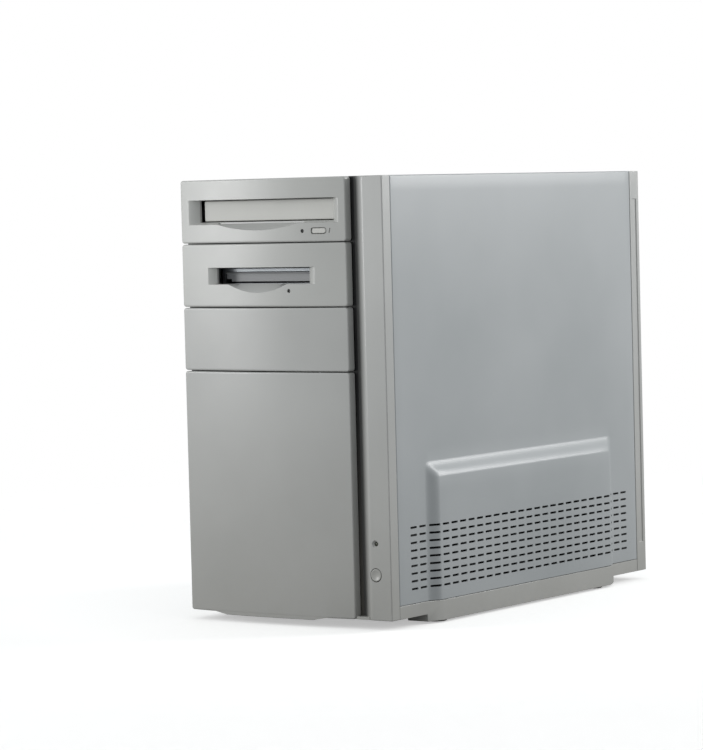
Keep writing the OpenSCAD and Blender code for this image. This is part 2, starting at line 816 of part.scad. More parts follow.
module floppy_drive_case() {
    t = 1;
    x = [fd_x - fd_w / 2, fd_x + fd_w / 2];
    throat = [fd_x - slot_w / 2, fd_x + slot_w / 2];
    throat_len = 100;
    color("#a3a6a8")
    difference() {
        box([x[0], fd_y, fd_z], [x[1], fd_y + fd_len, fd_z + fd_h]);
        // throat that takes the disk, open at the front
        box([throat[0], fd_y - cut, flap_z[0] - 1.5], [throat[1], fd_y + throat_len, flap_z[1] + 0.4]);
        // hollow for the electronics
        box([x[0] + t, fd_y + 10, fd_z + t], [x[1] - t, fd_y + fd_len - t, flap_z[0] - 3]);
        // holes for the ends of the flap's pin
        rod_x(fd_y + 1.8, flap_z[1] - 0.9, throat[0] - 2, throat[1] + 2, flap_pin_r + 0.05, $fn = 24);
    }
}

module floppy_flap() {
    x = [fd_x - slot_w / 2 + 0.4, fd_x + slot_w / 2 - 0.4];
    y0 = fd_y + 1.2;
    color("#8f9194") {
        box([x[0], y0, flap_z[0]], [x[1], y0 + flap_t, flap_z[1] - 0.9]);
        rod_x(fd_y + 1.8, flap_z[1] - 0.9, x[0] - 2, x[1] + 2, flap_pin_r, $fn = 24);
    }
}

module floppy_bracket() {
    x = [cd_x - cd_w / 2, cd_x + cd_w / 2];
    z0 = fd_z - 1.2;
    y1 = fd_y + 120;
    color("#b4b8ba")
    for (s = [0, 1]) {
        x_in = s == 0 ? fd_x - fd_w / 2 - sheet : fd_x + fd_w / 2;
        x_out = s == 0 ? x[0] : x[1] - sheet;
        box([x_in, cage_y[0], z0], [x_in + sheet, y1, fd_z + fd_h - 2]);
        box([x_out, cage_y[0], z0], [x_out + sheet, y1, fd_z + fd_h - 2]);
        box([min(x_in, x_out), cage_y[0], z0 - sheet], [max(x_in, x_out) + sheet, y1, z0]);
    }
}

module drive_leds() {
    color("#5a4a2a") {
        rod_y(cd_led[0], cd_led[1], y_front - 2.6, fascia_back - 0.5, led_r, $fn = 24);
        rod_y(fd_led[0], fd_led[1], y_front - 3, fascia_back - 0.5, led_r, $fn = 24);
    }
}

module hard_drive() {
    x = [fd_x - 50.8, fd_x + 50.8];
    y = [cage_y[0] + 2, cage_y[0] + 149];
    z = [cage_bottom - 49, cage_bottom - 23.6];
    color("#84888c") {
        difference() {
            box([x[0], y[0], z[0] + 2.4], [x[1], y[1], z[1] - 1.2]);
            box([x[0] + 2, y[1] - 8, z[0] + 2], [x[1] - 2, y[1] + cut, z[0] + 12]);
        }
        // lid with a round relief over the platters
        difference() {
            slab_z([x[0] + 1, y[0] + 1, z[1] - 1.2], [x[1] - 1, y[1] - 1, z[1]], 4);
            translate([fd_x, y[0] + 58, z[1] - 0.6])
                cylinder(r = 20, h = 2);
        }
        box([x[0] + 1, y[0] + 4, z[0]], [x[1] - 1, y[1] - 9, z[0] + 2.4]);
    }
}

// Slab with rounded corners seen from above
module slab_z(lo, hi, r) {
    translate(lo)
        linear_extrude(hi[2] - lo[2])
            rounded_rect(hi[0] - lo[0], hi[1] - lo[1], r);
}

// ---------- power supply ----------

module psu_case() {
    t = 1;
    color("#a7abad")
    difference() {
        box(psu_lo, psu_hi);
        box(psu_lo + [t, t, t], psu_hi - [t, t, t]);
        rod_y(psu_fan[0], psu_fan[1], psu_hi[1] - 2 * t, psu_hi[1] + cut, 38);
        box([inlet[0] - 14.5, psu_hi[1] - 2 * t, inlet[1] - 10.5],
            [inlet[0] + 14.5, psu_hi[1] + cut, inlet[1] + 10.5]);
        box([rocker[0] - 9.8, psu_hi[1] - 2 * t, rocker[1] - 6.3],
            [rocker[0] + 9.8, psu_hi[1] + cut, rocker[1] + 6.3]);
        for (p = psu_screws)
            rod_y(p[0], p[1], psu_hi[1] - 2 * t, psu_hi[1] + cut, screw_r + 0.05);
        // air slots and the cable hole in the front wall
        for (i = [0:13])
            box([psu_lo[0] + 12 + i * 7, psu_lo[1] - cut, psu_lo[2] + 12],
                [psu_lo[0] + 15 + i * 7, psu_lo[1] + 2 * t, psu_hi[2] - 12]);
        rod_y(psu_hi[0] - 22, psu_lo[2] + 22, psu_lo[1] - cut, psu_lo[1] + 2 * t, 11);
    }
}

module psu_board() {
    z0 = psu_lo[2] + 5;
    y = [psu_lo[1] + 6, psu_hi[1] - 42];
    color("#6b5a33") {
        box([psu_lo[0] + 4, y[0], z0], [psu_hi[0] - 4, y[1], z0 + 1.6]);
        // transformer, choke and smoothing capacitors
        box([-8, y[0] + 30, z0 + 1.6], [32, y[0] + 62, z0 + 38]);
        for (y2 = [y[0] + 20, y[0] + 52])
            translate([58, y2, z0 + 1.6])
                cylinder(r = 11, h = 34);
        // finned heat sinks
        for (x = [-50, -22]) {
            box([x, y[0] + 6, z0 + 1.6], [x + 3, y[1] - 6, z0 + 50]);
            for (i = [0:4])
                box([x + 3, y[0] + 10 + i * 16, z0 + 20], [x + 9, y[0] + 12 + i * 16, z0 + 50]);
        }
    }
}

module psu_fan_frame() {
    color("#2a2a2b")
    translate([psu_fan[0], psu_hi[1] - 1, psu_fan[1]])
        rotate([90, 0, 0])
            fan_frame(fan_size, fan_t);
}

module psu_fan_rotor() {
    color("#1d1d1e")
    translate([psu_fan[0], psu_hi[1] - 1, psu_fan[1]])
        rotate([90, 0, 0])
            fan_rotor(fan_size, fan_t);
}

module psu_fan_grille() {
    wire_w = 1.6;
    wire_t = 1.4;
    rings = [8, 15.5, 23, 30.5];
    spoke_len = 88;
    color("#c4c7c9")
    translate([psu_fan[0], psu_hi[1] + wire_t, psu_fan[1]])
        rotate([90, 0, 0]) {
            for (r = rings)
                difference() {
                    cylinder(r = r + wire_w / 2, h = wire_t, $fn = 96);
                    translate([0, 0, -cut])
                        cylinder(r = r - wire_w / 2, h = wire_t + 2 * cut, $fn = 96);
                }
            for (a = [45, 135])
                rotate(a)
                    translate([-spoke_len / 2, -wire_w / 2, 0])
                        cube([spoke_len, wire_w, wire_t]);
        }
}

module power_inlet() {
    y1 = psu_hi[1] + 2.2;
    color("#1f1f20") {
        difference() {
            union() {
                slab_y([inlet[0] - 24, psu_hi[1], inlet[1] - 12], [inlet[0] + 24, y1, inlet[1] + 12], 3);
                box([inlet[0] - 14, psu_hi[1] - 22, inlet[1] - 10],
                    [inlet[0] + 14, psu_hi[1], inlet[1] + 10]);
            }
            box([inlet[0] - 12, psu_hi[1] - 15.5, inlet[1] - 8], [inlet[0] + 12, y1 + cut, inlet[1] + 8]);
        }
        for (p = [[-7, -2.5], [7, -2.5], [0, 2.5]])
            box([inlet[0] + p[0] - 1, psu_hi[1] - 16, inlet[1] + p[1] - 2],
                [inlet[0] + p[0] + 1, psu_hi[1] - 2, inlet[1] + p[1] + 2]);
    }
}

module power_switch_housing() {
    y1 = psu_hi[1] + 2;
    color("#232324")
    difference() {
        union() {
            slab_y([rocker[0] - 12, psu_hi[1], rocker[1] - 8.5], [rocker[0] + 12, y1, rocker[1] + 8.5], 1.5);
            box([rocker[0] - 9.5, psu_hi[1] - 14, rocker[1] - 6],
                [rocker[0] + 9.5, psu_hi[1], rocker[1] + 6]);
        }
        box([rocker[0] - 8.5, psu_hi[1] - 11, rocker[1] - 4.8], [rocker[0] + 8.5, y1 + cut, rocker[1] + 4.8]);
        translate([rocker[0], psu_hi[1] - 3, rocker[1] - 5.6])
            cylinder(r = 1.05, h = 11.2, $fn = 24);
    }
}

module power_rocker() {
    half = 7.6;
    y0 = psu_hi[1] - 3;
    color("#171718")
    translate([rocker[0], y0, rocker[1] - 4.4])
        rotate(rocker_tilt) {
            linear_extrude(8.8)
                polygon([[-half, 1], [-half, 4.2], [0, 3], [half, 4.2], [half, 1], [3, -2.5], [-3, -2.5]]);
            translate([0, 0, -1])
                cylinder(r = 1, h = 10.8, $fn = 24);
        }
}

// ---------- main board ----------

module motherboard() {
    color("#2f5b3c")
    difference() {
        box(board_lo, board_hi);
        for (p = standoff_yz)
            rod_x(p[0], p[1], board_x - cut, board_x + board_t + cut, 1.9, $fn = 24);
    }
    color("#e4e0d2") {
        // card connectors
        for (z = slots)
            box([board_x - 11, 62, z - 4.2], [board_x, 147, z + 4.2]);
        // processor socket
        box([board_x - 4, cpu_pos[0] - 26, cpu_pos[1] - 26], [board_x, cpu_pos[0] + 26, cpu_pos[1] + 26]);
    }
    color("#222222") {
        // memory sockets
        for (y = [-32, -43])
            box([board_x - 6.5, y - 3, z_low + 112], [board_x, y + 3, z_low + 246]);
        // drive connectors
        box([board_x - 9, 7, z_low + 66], [board_x, 14, z_low + 119]);
        box([board_x - 9, -15, z_low + 70], [board_x, -8, z_low + 115]);
        // power connector
        box([board_x - 12, 6, z_low + 190], [board_x, 16, z_low + 242]);
        // chipset and clock chips
        box([board_x - 3, 96, z_low + 118], [board_x, 131, z_low + 153]);
        box([board_x - 2, 20, z_low + 30], [board_x, 46, z_low + 56]);
        // lead header
        box([board_x - 8, board_lo[1] + 4, z_low + 40], [board_x, board_lo[1] + 9, z_low + 66]);
        // smoothing capacitors
        for (i = [0:5])
            rod_x(96 + i * 11, z_low + 242, board_x - 12, board_x, 4, $fn = 24);
    }
}

module cpu() {
    color("#8b8f84")
    box([board_x - 7, cpu_pos[0] - 22, cpu_pos[1] - 22], [board_x - 4, cpu_pos[0] + 22, cpu_pos[1] + 22]);
}

module heatsink() {
    half = 30;
    fins = 13;
    x1 = board_x - 7;
    base_t = 5;
    fin_t = 1.4;
    color("#b9bdc1") {
        box([x1 - base_t, cpu_pos[0] - half, cpu_pos[1] - half], [x1, cpu_pos[0] + half, cpu_pos[1] + half]);
        for (i = [0:fins - 1]) {
            y = cpu_pos[0] - half + i * (2 * half - fin_t) / (fins - 1);
            box([x1 - 35, y, cpu_pos[1] - half], [x1 - base_t, y + fin_t, cpu_pos[1] + half]);
        }
    }
}

module cpu_fan_frame() {
    color("#2a2a2b")
    translate([board_x - 42, cpu_pos[0], cpu_pos[1]])
        rotate([0, -90, 0])
            fan_frame(cpu_fan_size, cpu_fan_t);
}

module cpu_fan_rotor() {
    color("#1d1d1e")
    translate([board_x - 42, cpu_pos[0], cpu_pos[1]])
        rotate([0, -90, 0])
            fan_rotor(cpu_fan_size, cpu_fan_t);
}

module memory_modules() {
    x = [board_x - 6.5 - 26, board_x - 6.5];
    z = [z_low + 112.5, z_low + 245.5];
    chips = 8;
    color("#2c6344")
    for (y = [-32, -43]) {
        box([x[0], y - 0.6, z[0]], [x[1], y + 0.6, z[1]]);
        for (i = [0:chips - 1])
            box([x[0] + 6, y + 0.6, z[0] + 6 + i * 16], [x[0] + 18, y + 1.8, z[0] + 16 + i * 16]);
    }
}

// Card in slot i: board, bracket and a few parts
module card(i, depth, height) {
    z = slots[i];
    x1 = board_x - 11;
    y1 = panel_y - 1.4;
    union() {
        box([x1 - height, y1 - depth, z - 0.8], [x1, y1, z + 0.8]);
        // bracket with its screw tab
        difference() {
            union() {
                box([-36, y1, z - 9], [board_x - 1, y1 + 0.9, z + 9]);
                box([-37, y1 - 11, z - 9], [-36, y1 + 0.9, z + 9]);
            }
            rod_y(slot_screw_x, z, y1 - cut, panel_y + cut, screw_r + 0.1);
        }
    }
}

module graphics_card() {
    color("#37603f") {
        card(3, 165, 98);
        // cooler and outlet socket
        box([10, 90, slots[3] - 10.4], [50, 130, slots[3] - 0.8]);
        box([10, panel_y - 14, slots[3] - 7], [40, panel_y - 1.4, slots[3] - 0.8]);
    }
}

module network_card() {
    color("#3a6847") {
        card(1, 130, 80);
        box([25, panel_y - 18, slots[1] - 8], [42, panel_y - 1.4, slots[1] - 0.8]);
        box([20, 110, slots[1] - 3], [44, 134, slots[1] - 0.8]);
    }
}

module slot_covers() {
    y1 = panel_y - 1.4;
    color("#b9bdbf")
    for (i = [0, 2])
        difference() {
            union() {
                box([-36, y1, slots[i] - 9], [board_x - 1, y1 + 0.9, slots[i] + 9]);
                box([-37, y1 - 11, slots[i] - 9], [-36, y1 + 0.9, slots[i] + 9]);
            }
            rod_y(slot_screw_x, slots[i], y1 - cut, panel_y + cut, screw_r + 0.1);
        }
}

// Rear connectors: height above the body's bottom, half height, depth off the board, row offset
port_list = [[243, 7, 14, 0], [243, 7, 14, 16], [220, 8, 16, 0], [192, 17, 12, 0],
    [166, 9, 12, 0], [192, 16, 12, 17], [150, 8, 12, 17], [136, 6.5, 12, 0], [118, 6.5, 12, 0]];

module port_boxes(grow, y0, y1) {
    for (p = port_list)
        box([board_x - p[3] - p[2] - grow, y0, z_low + p[0] - p[1] - grow],
            [board_x - p[3] + min(grow, 0) + (p[3] > 0 ? grow : 0), y1, z_low + p[0] + p[1] + grow]);
}

module io_shield() {
    color("#b9bdbf")
    difference() {
        box([io_lo[0] + 0.2, panel_y + 0.1, io_lo[1] + 0.2], [io_hi[0] - 0.2, panel_y + 0.8, io_hi[1] - 0.2]);
        port_boxes(0.4, panel_y - cut, panel_y + 2 * cut);
    }
}

module io_ports() {
    color("#3b3d44")
    difference() {
        port_boxes(0, panel_y - 17, panel_y + 3.5);
        port_boxes(-2.2, panel_y - 6, panel_y + 4.5);
    }
}

module coin_cell() {
    color("#c8ccce")
    rod_x(0, z_low + 48, board_x - 3.2, board_x, 10);
}

module board_standoffs() {
    color("#b08d3c")
    for (p = standoff_yz)
        difference() {
            rod_x(p[0], p[1], board_x + board_t, tray_x, 3, $fn = 6);
            rod_x(p[0], p[1], board_x, tray_x + cut, 1.55, $fn = 24);
        }
}

module board_screws() {
    color("#b9bdc1")
    for (p = standoff_yz) {
        rod_x(p[0], p[1], board_x, board_x + 6, 1.5, $fn = 24);
        rod_x(p[0], p[1], board_x - 2, board_x, 3, $fn = 24);
    }
}

module rear_fan_frame() {
    color("#2a2a2b")
    translate([rear_fan[0], panel_y, rear_fan[1]])
        rotate([90, 0, 0])
            fan_frame(fan_size, fan_t);
}

module rear_fan_rotor() {
    color("#1d1d1e")
    translate([rear_fan[0], panel_y, rear_fan[1]])
        rotate([90, 0, 0])
            fan_rotor(fan_size, fan_t);
}

// ---------- cables and small parts ----------

module drive_ribbons() {
    t = 1;
    ide_x = [-66, -15];
    fdd_x = [-10, 31];
    ide_y = cd_y + cd_len + 6;
    fdd_y = -12;
    ide_z = [z_low + 67, z_low + 118];
    fdd_z = [z_low + 71, z_low + 114];
    color("#9a9ca0") {
        // main ribbon: out from the board, folded, then up to the disc drive
        box([ide_x[0], ide_y, ide_z[0]], [board_x - 9, ide_y + t, ide_z[1]]);
        box([ide_x[0], ide_y + t, ide_z[0]], [ide_x[1], ide_y + 2 * t, cd_z + 12]);
        box([ide_x[0], cd_y + cd_len, cd_z + 3], [ide_x[1], ide_y + t, cd_z + 10]);
        // branch to the hard drive
        box([ide_x[0], cage_y[0] + 149, cage_bottom - 44], [ide_x[1], ide_y, cage_bottom - 43]);
        box([ide_x[0], cage_y[0] + 142, cage_bottom - 45.5], [ide_x[1], cage_y[0] + 149, cage_bottom - 39]);
        // ribbon to the floppy drive
        box([fdd_x[0], fdd_y, fdd_z[0]], [board_x - 9, fdd_y + t, fdd_z[1]]);
        box([fdd_x[0], fdd_y + t, fdd_z[0]], [fdd_x[1], fdd_y + 2 * t, fd_z + 9]);
        box([fdd_x[0], fd_y + fd_len, fd_z + 8], [fdd_x[1], fdd_y + t, fd_z + 9]);
        box([fdd_x[0], fd_y + fd_len, fd_z + 3], [fdd_x[1], fd_y + fd_len + 8, fd_z + 8]);
    }
}

module power_harness() {
    trunk_r = 4;
    branch_r = 3;
    hole = [psu_hi[0] - 22, psu_lo[2] + 22];
    out = [hole[0], psu_lo[1], hole[1]];
    color("#8c6a2f") {
        // bush in the cable hole of the power supply
        rod_y(hole[0], hole[1], psu_lo[1] - 6, psu_lo[1] + 3, 10.5);
        // trunk to the board
        lead([out + [5, -5.5, -2], out + [5, -12, -5], out + [1, -17, -16], [54, 30, z_low + 246],
            [52, 20, z_low + 234], [56, 11, z_low + 222], [board_x - 23, 11, z_low + 216]], trunk_r);
        box([board_x - 24, 6, z_low + 191], [board_x - 12, 16, z_low + 241]);
        // branch to the disc drive
        lead([out + [-5, -5.5, 3], out + [-6, -14, 4], out + [-12, -24, 2],
            [cd_x + 36, cd_y + cd_len + 20, cd_z - 2],
            [cd_x + 33, cd_y + cd_len + 14, cd_z + 4],
                [cd_x + 32.5, cd_y + cd_len + 8, cd_z + 6.5]], branch_r);
        box([cd_x + 22, cd_y + cd_len, cd_z + 3], [cd_x + 43, cd_y + cd_len + 9, cd_z + 10]);
    }
}

module front_leads() {
    r = 1.5;
    y_board = switch_y + 5.8;
    header = [board_x - 8.8, board_lo[1] + 6.5, z_low + 53];
    color("#7a3b36")
    lead([[button_x - 2, y_board, led_z + 5], [button_x - 2, y_board + 6, led_z + 5],
        [button_x - 4, y_board + 16, led_z + 2], [button_x - 8, y_board + 50, z_low + 40],
        [button_x - 14, -100, z_low + 24], [70, board_lo[1] - 20, z_low + 36],
        [66, board_lo[1] - 2, z_low + 48], [68, header[1] - 0.5, header[2] - 0.5], header], r);
}

module speaker() {
    r = 28;
    y0 = frame_y + sheet;
    color("#2e2f31")
    translate([-50, y0, z_low + 46])
        rotate([-90, 0, 0]) {
            difference() {
                cylinder(r = r, h = 4);
                translate([0, 0, -cut])
                    cylinder(r = r - 4, h = 3);
            }
            translate([0, 0, 4])
                cylinder(r1 = r - 3, r2 = 14, h = 8);
            translate([0, 0, 12])
                cylinder(r = 14, h = 6);
        }
}

module case_screws() {
    color("#c3c7ca") {
        for (p = psu_screws)
            translate([p[0], panel_y + sheet, p[1]])
                rotate([-90, 0, 0])
                    screw();
        for (z = slots)
            translate([slot_screw_x, panel_y + sheet, z])
                rotate([-90, 0, 0])
                    screw();
        for (y = drive_screw_y, z = drive_screw_z) {
            translate([cage_x[0] - sheet, y, z])
                rotate([0, -90, 0])
                    screw();
            translate([cage_x[1] + sheet, y, z])
                rotate([0, 90, 0])
                    screw();
        }
    }
}

front_bezel();
cd_fascia();
floppy_fascia();
blank_fascia();
lower_fascia();
power_button();
power_led();
front_switch_board();
base_pan();
rear_panel();
front_frame();
board_tray();
top_brace();
right_cover();
left_cover();
top_cover();
rear_surround();
base_skirt();
feet();
bay_cage();
hard_drive_cage();
cd_drive_case();
cd_tray();
cd_tray_front();
cd_eject_button();
cd_mechanism();
floppy_drive_case();
floppy_flap();
floppy_bracket();
drive_leds();
hard_drive();
psu_case();
psu_board();
psu_fan_frame();
psu_fan_rotor();
psu_fan_grille();
power_inlet();
power_switch_housing();
power_rocker();
motherboard();
cpu();
heatsink();
cpu_fan_frame();
cpu_fan_rotor();
memory_modules();
graphics_card();
network_card();
slot_covers();
io_shield();
io_ports();
coin_cell();
board_standoffs();
board_screws();
rear_fan_frame();
rear_fan_rotor();
drive_ribbons();
power_harness();
front_leads();
speaker();
case_screws();
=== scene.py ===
# %% [markdown]
# # A desktop computer tower, built around its CAD frame
# The tower has a plastic front with four drive fascias, painted steel covers
# on both sides, and the usual drives, boards and fans inside.
# The CAD model fixes every size and every joint. This script adds the looks:
# rounded edges, pressed sheet, moulded grain, glass, paint and metal.

# %% Load the frame
import math

import bmesh
import bpy
from mathutils import Matrix, Vector


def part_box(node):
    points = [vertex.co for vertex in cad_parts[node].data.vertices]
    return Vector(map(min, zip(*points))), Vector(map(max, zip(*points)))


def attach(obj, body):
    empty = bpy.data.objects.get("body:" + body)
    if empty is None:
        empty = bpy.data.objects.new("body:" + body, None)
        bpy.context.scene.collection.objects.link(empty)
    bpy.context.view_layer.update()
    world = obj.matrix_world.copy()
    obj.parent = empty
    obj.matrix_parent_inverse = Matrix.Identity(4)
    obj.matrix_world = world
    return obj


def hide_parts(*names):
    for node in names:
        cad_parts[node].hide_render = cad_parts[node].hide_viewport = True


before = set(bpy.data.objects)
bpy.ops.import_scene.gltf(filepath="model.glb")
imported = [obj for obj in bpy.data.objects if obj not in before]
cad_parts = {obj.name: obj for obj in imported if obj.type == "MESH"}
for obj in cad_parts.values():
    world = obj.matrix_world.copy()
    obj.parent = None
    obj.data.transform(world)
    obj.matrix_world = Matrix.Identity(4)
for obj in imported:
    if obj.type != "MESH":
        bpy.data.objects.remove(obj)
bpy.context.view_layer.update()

# %% [markdown]
# ## Units and colours
# Blender works in metres, but a maker thinks of a case like this in
# millimetres, so every size below is in millimetres and one constant turns it
# into metres. Colours are written as the hex values a paint chart gives.
# Those are gamma-coded, so one function turns them to the linear light values
# that the shader needs.

# %% Millimetres and colours
MM = 0.001


def linear(hex_colour):
    """Turns an sRGB hex colour to linear RGBA."""
    parts = [int(hex_colour[i:i + 2], 16) / 255 for i in (1, 3, 5)]
    straight_part = 0.04045
    return [p / 12.92 if p <= straight_part else ((p + 0.055) / 1.055) ** 2.4 for p in parts] + [1.0]


print("mid grey in linear light:", [round(v, 3) for v in linear("#808080")])

# %% [markdown]
# ## The camera
# A long lens from the front right, a little above the middle of the tower.
# The camera's own axes are built from three angles: how far it stands round
# the tower, how far it looks down, and a small tilt of the horizon.

# %% Camera
EYE = Vector((1639.7, -2411.3, 350.3)) * MM
ROUND, DOWN, TILT = (math.radians(a) for a in (35.393, 3.0206, -1.4595))
LENS = 161.08


def add_camera():
    back = Vector((math.sin(ROUND) * math.cos(DOWN), -math.cos(ROUND) * math.cos(DOWN), math.sin(DOWN)))
    right = Vector((math.cos(ROUND), math.sin(ROUND), 0))
    up = back.cross(right)
    axis_x = right * math.cos(TILT) + up * math.sin(TILT)
    axis_y = up * math.cos(TILT) - right * math.sin(TILT)
    camera = bpy.data.objects.new("camera", bpy.data.cameras.new("camera"))
    camera.matrix_world = Matrix.Translation(EYE) @ Matrix((axis_x, axis_y, back)).transposed().to_4x4()
    camera.data.lens = LENS
    camera.data.clip_end = 100
    bpy.context.scene.collection.objects.link(camera)
    bpy.context.scene.camera = camera


add_camera()
print("camera distance in metres:", round(EYE.length, 2))

# %% [markdown]
# ## Making shader nodes
# A material is a small network of nodes. One function adds any node, sets its
# options, and fills its inputs: a plain value is typed in, and a socket from
# another node is linked. Inputs go by name or number, or simply in order: a
# Map Range node takes its value, the range it comes from and the range it
# goes to. Every finish starts alike, from an empty material and the place of
# each point on its piece.

# %% Node helper
def add(tree, kind, options=None, inputs=None):
    """Adds a node; options are its own settings, inputs are values or sockets by name, number or order."""
    node = tree.nodes.new(kind)
    for key, value in (options or {}).items():
        setattr(node, key, value)
    given_inputs = dict(enumerate(inputs)) if isinstance(inputs, tuple) else inputs or {}
    for key, value in given_inputs.items():
        if isinstance(value, bpy.types.NodeSocket):
            tree.links.new(value, node.inputs[key])
        else:
            node.inputs[key].default_value = value
    return node


COLOURS = {"data_type": "RGBA"}


def blank_material(name):
    """A new material, its tree, the place of each point on its piece, and the surface socket to fill."""
    material = bpy.data.materials.new(name)
    material.use_nodes = True
    tree = material.node_tree
    tree.nodes.clear()
    place = add(tree, "ShaderNodeTexCoord").outputs["Object"]
    return material, tree, place, add(tree, "ShaderNodeOutputMaterial").inputs[0]


print("node helpers ready")

# %% [markdown]
# ## Moulded plastic
# The front is ABS, injection moulded in a tool whose surface was spark eroded.
# That leaves a fine, even grain of about 0.4 mm, which breaks up the highlight
# and gives a satin finish. The grain is drawn a little coarser than real so
# that it still shows from some metres away. Slow noise changes the
# roughness a little, as handling does, and the colour turns darker towards the
# lower edge. A finish can also darken, as painted shade for a groove, and lose
# its shine from one x position to another.

# %% Finish: moulded ABS
PLASTIC_IOR = 1.53
# The colour that painted shade in a groove turns towards.
GROOVE_SHADE = "#2b2b2a"


def moulded_plastic(name, dark, light, rough, grain_mm=0.8, grain_depth=0.04, low_tone="#a09c92", groove=None):
    material, tree, place, surface = blank_material(name)
    slow = add(tree, "ShaderNodeTexNoise", None, {"Vector": place, "Scale": 9.0, "Detail": 3.0})
    mottled = add(tree, "ShaderNodeTexNoise", None, {"Vector": place, "Scale": 70.0, "Detail": 4.0})
    grain = add(tree, "ShaderNodeTexNoise", None, {
        "Vector": place, "Scale": 1 / (grain_mm * MM), "Detail": 2.0, "Roughness": 0.6})
    across, _, height = add(tree, "ShaderNodeSeparateXYZ", None, {"Vector": place}).outputs
    patches = add(tree, "ShaderNodeMapRange", None, (slow.outputs[0], 0.3, 0.7)).outputs[0]
    clean = add(tree, "ShaderNodeMix", COLOURS, {0: patches, 6: linear(dark), 7: linear(light)})
    # Towards the bottom the colour turns darker, in uneven patches.
    low_down = add(tree, "ShaderNodeMapRange", None, (height, 0.2, 0.0, 0.0, 0.35)).outputs[0]
    uneven = add(tree, "ShaderNodeMapRange", None, (mottled.outputs[0], 0.2, 0.8, 0.7, 1.0)).outputs[0]
    low_darkening = add(tree, "ShaderNodeMath", {"operation": "MULTIPLY"}, (low_down, uneven))
    tint = add(tree, "ShaderNodeMix", COLOURS, {0: low_darkening.outputs[0], 6: clean.outputs[2], 7: linear(low_tone)})
    roughness = add(tree, "ShaderNodeMapRange", None, (
        mottled.outputs[0], 0.3, 0.7, rough - 0.01, rough + 0.02)).outputs[0]
    # Towards the groove the colour darkens: painted shade for the groove's shadow.
    if groove:
        shaded_from, lit_from = groove[0] * MM, groove[1] * MM
        painted_shade = add(tree, "ShaderNodeMapRange", None, (across, shaded_from, lit_from, 0.85, 0.0)).outputs[0]
        tint = add(tree, "ShaderNodeMix", COLOURS, {0: painted_shade, 6: tint.outputs[2], 7: linear(GROOVE_SHADE)})
        roughness = add(tree, "ShaderNodeMapRange", None, (
            across, shaded_from, lit_from, 0.85, rough)).outputs[0]
    bump = add(tree, "ShaderNodeBump", None, {
        "Height": grain.outputs[0], "Strength": 0.22, "Distance": grain_depth * MM})
    shader = add(tree, "ShaderNodeBsdfPrincipled", None, {
        "Base Color": tint.outputs[2], "Roughness": roughness, "IOR": PLASTIC_IOR, "Normal": bump.outputs[0]})
    tree.links.new(shader.outputs[0], surface)
    return material


case_abs = moulded_plastic("ABS_warm_grey_spark_grain", "#bfc0bd", "#c8c9c6", 0.25)
# The column's finish darkens towards the groove as painted shade.
column_abs = moulded_plastic("ABS_warm_grey_painted_groove_shade", "#bfc0bd", "#c8c9c6", 0.25, groove=(70, 82))
fascia_abs = moulded_plastic("ABS_light_grey_spark_grain", "#c2c3bf", "#cbccc8", 0.25)
tray_abs = moulded_plastic("ABS_light_grey_fine_grain", "#cacac4", "#d3d3cd", 0.34, 0.5)
button_abs = moulded_plastic("ABS_grey_polished", "#bbbcb8", "#c4c5c1", 0.28, 0.5, 0.02)
flap_abs = moulded_plastic("ABS_mid_grey_fine_grain", "#a9abac", "#b4b6b7", 0.4, 0.5)
black_abs = moulded_plastic("ABS_black_fine_grain", "#151516", "#1e1e20", 0.42, 0.5)
fan_abs = moulded_plastic("PBT_black_satin", "#121213", "#1b1b1c", 0.36, 0.7)
# Black felt, used as painted shade behind the vent slots.
shade_felt = moulded_plastic("Felt_black_polyester", "#0a0a0a", "#101010", 0.95, 0.4, 0.15, low_tone="#141414")
foot_rubber = moulded_plastic("Rubber_black_matt", "#202020", "#2c2c2b", 0.75, 1.2, 0.1)
print("plastics:", case_abs.name, fascia_abs.name)

# %% [markdown]
# ## Painted steel
# The side covers are pressed steel sheet with a baked grey paint. A sprayed
# coat dries with a faint orange peel, a ripple about 3 mm wide and a few
# hundredths deep, and it is a little glossier than the plastic.

# %% Finish: painted steel
SPECK_MM = 0.7


def painted_steel(name, dark, light, rough, peel_mm=3.0, peel_depth=0.03):
    material, tree, place, surface = blank_material(name)
    slow = add(tree, "ShaderNodeTexNoise", None, {"Vector": place, "Scale": 6.0, "Detail": 3.0})
    fine = add(tree, "ShaderNodeTexNoise", None, {
        "Vector": place, "Scale": 1 / (SPECK_MM * MM), "Detail": 2.0})
    peel = add(tree, "ShaderNodeTexNoise", None, {
        "Vector": place, "Scale": 1 / (peel_mm * MM), "Detail": 1.0})
    patches = add(tree, "ShaderNodeMapRange", None, (slow.outputs[0], 0.32, 0.68)).outputs[0]
    tone = add(tree, "ShaderNodeMix", COLOURS, {0: patches, 6: linear(dark), 7: linear(light)}).outputs[2]
    roughness = add(tree, "ShaderNodeMapRange", None, (
        slow.outputs[0], 0.3, 0.7, rough - 0.03, rough + 0.04)).outputs[0]
    ripple = add(tree, "ShaderNodeBump", None, {
        "Height": peel.outputs[0], "Strength": 0.3, "Distance": peel_depth * MM})
    specks = add(tree, "ShaderNodeBump", None, {
        "Height": fine.outputs[0], "Strength": 0.2, "Distance": 0.02 * MM, "Normal": ripple.outputs[0]})
    shader = add(tree, "ShaderNodeBsdfPrincipled", None, {
        "Base Color": tone, "Roughness": roughness, "Coat Weight": 0.25, "Coat Roughness": 0.2,
        "Normal": specks.outputs[0]})
    tree.links.new(shader.outputs[0], surface)
    return material


cover_paint = painted_steel("Steel_baked_paint_cool_grey", "#abb0b1", "#b7bbbc", 0.36)
print("paint:", cover_paint.name)

# %% [markdown]
# ## Bare metals
# Chassis parts are zinc-plated steel: a bright, slightly blue grey with the
# faint spangle of crystals some 8 mm across. Screws and brackets are
# smoother. All use one function: cells give the spangle, and long thin noise
# gives rolling marks.

# %% Finish: plated and bare metal
ROLLING_MM = 0.6


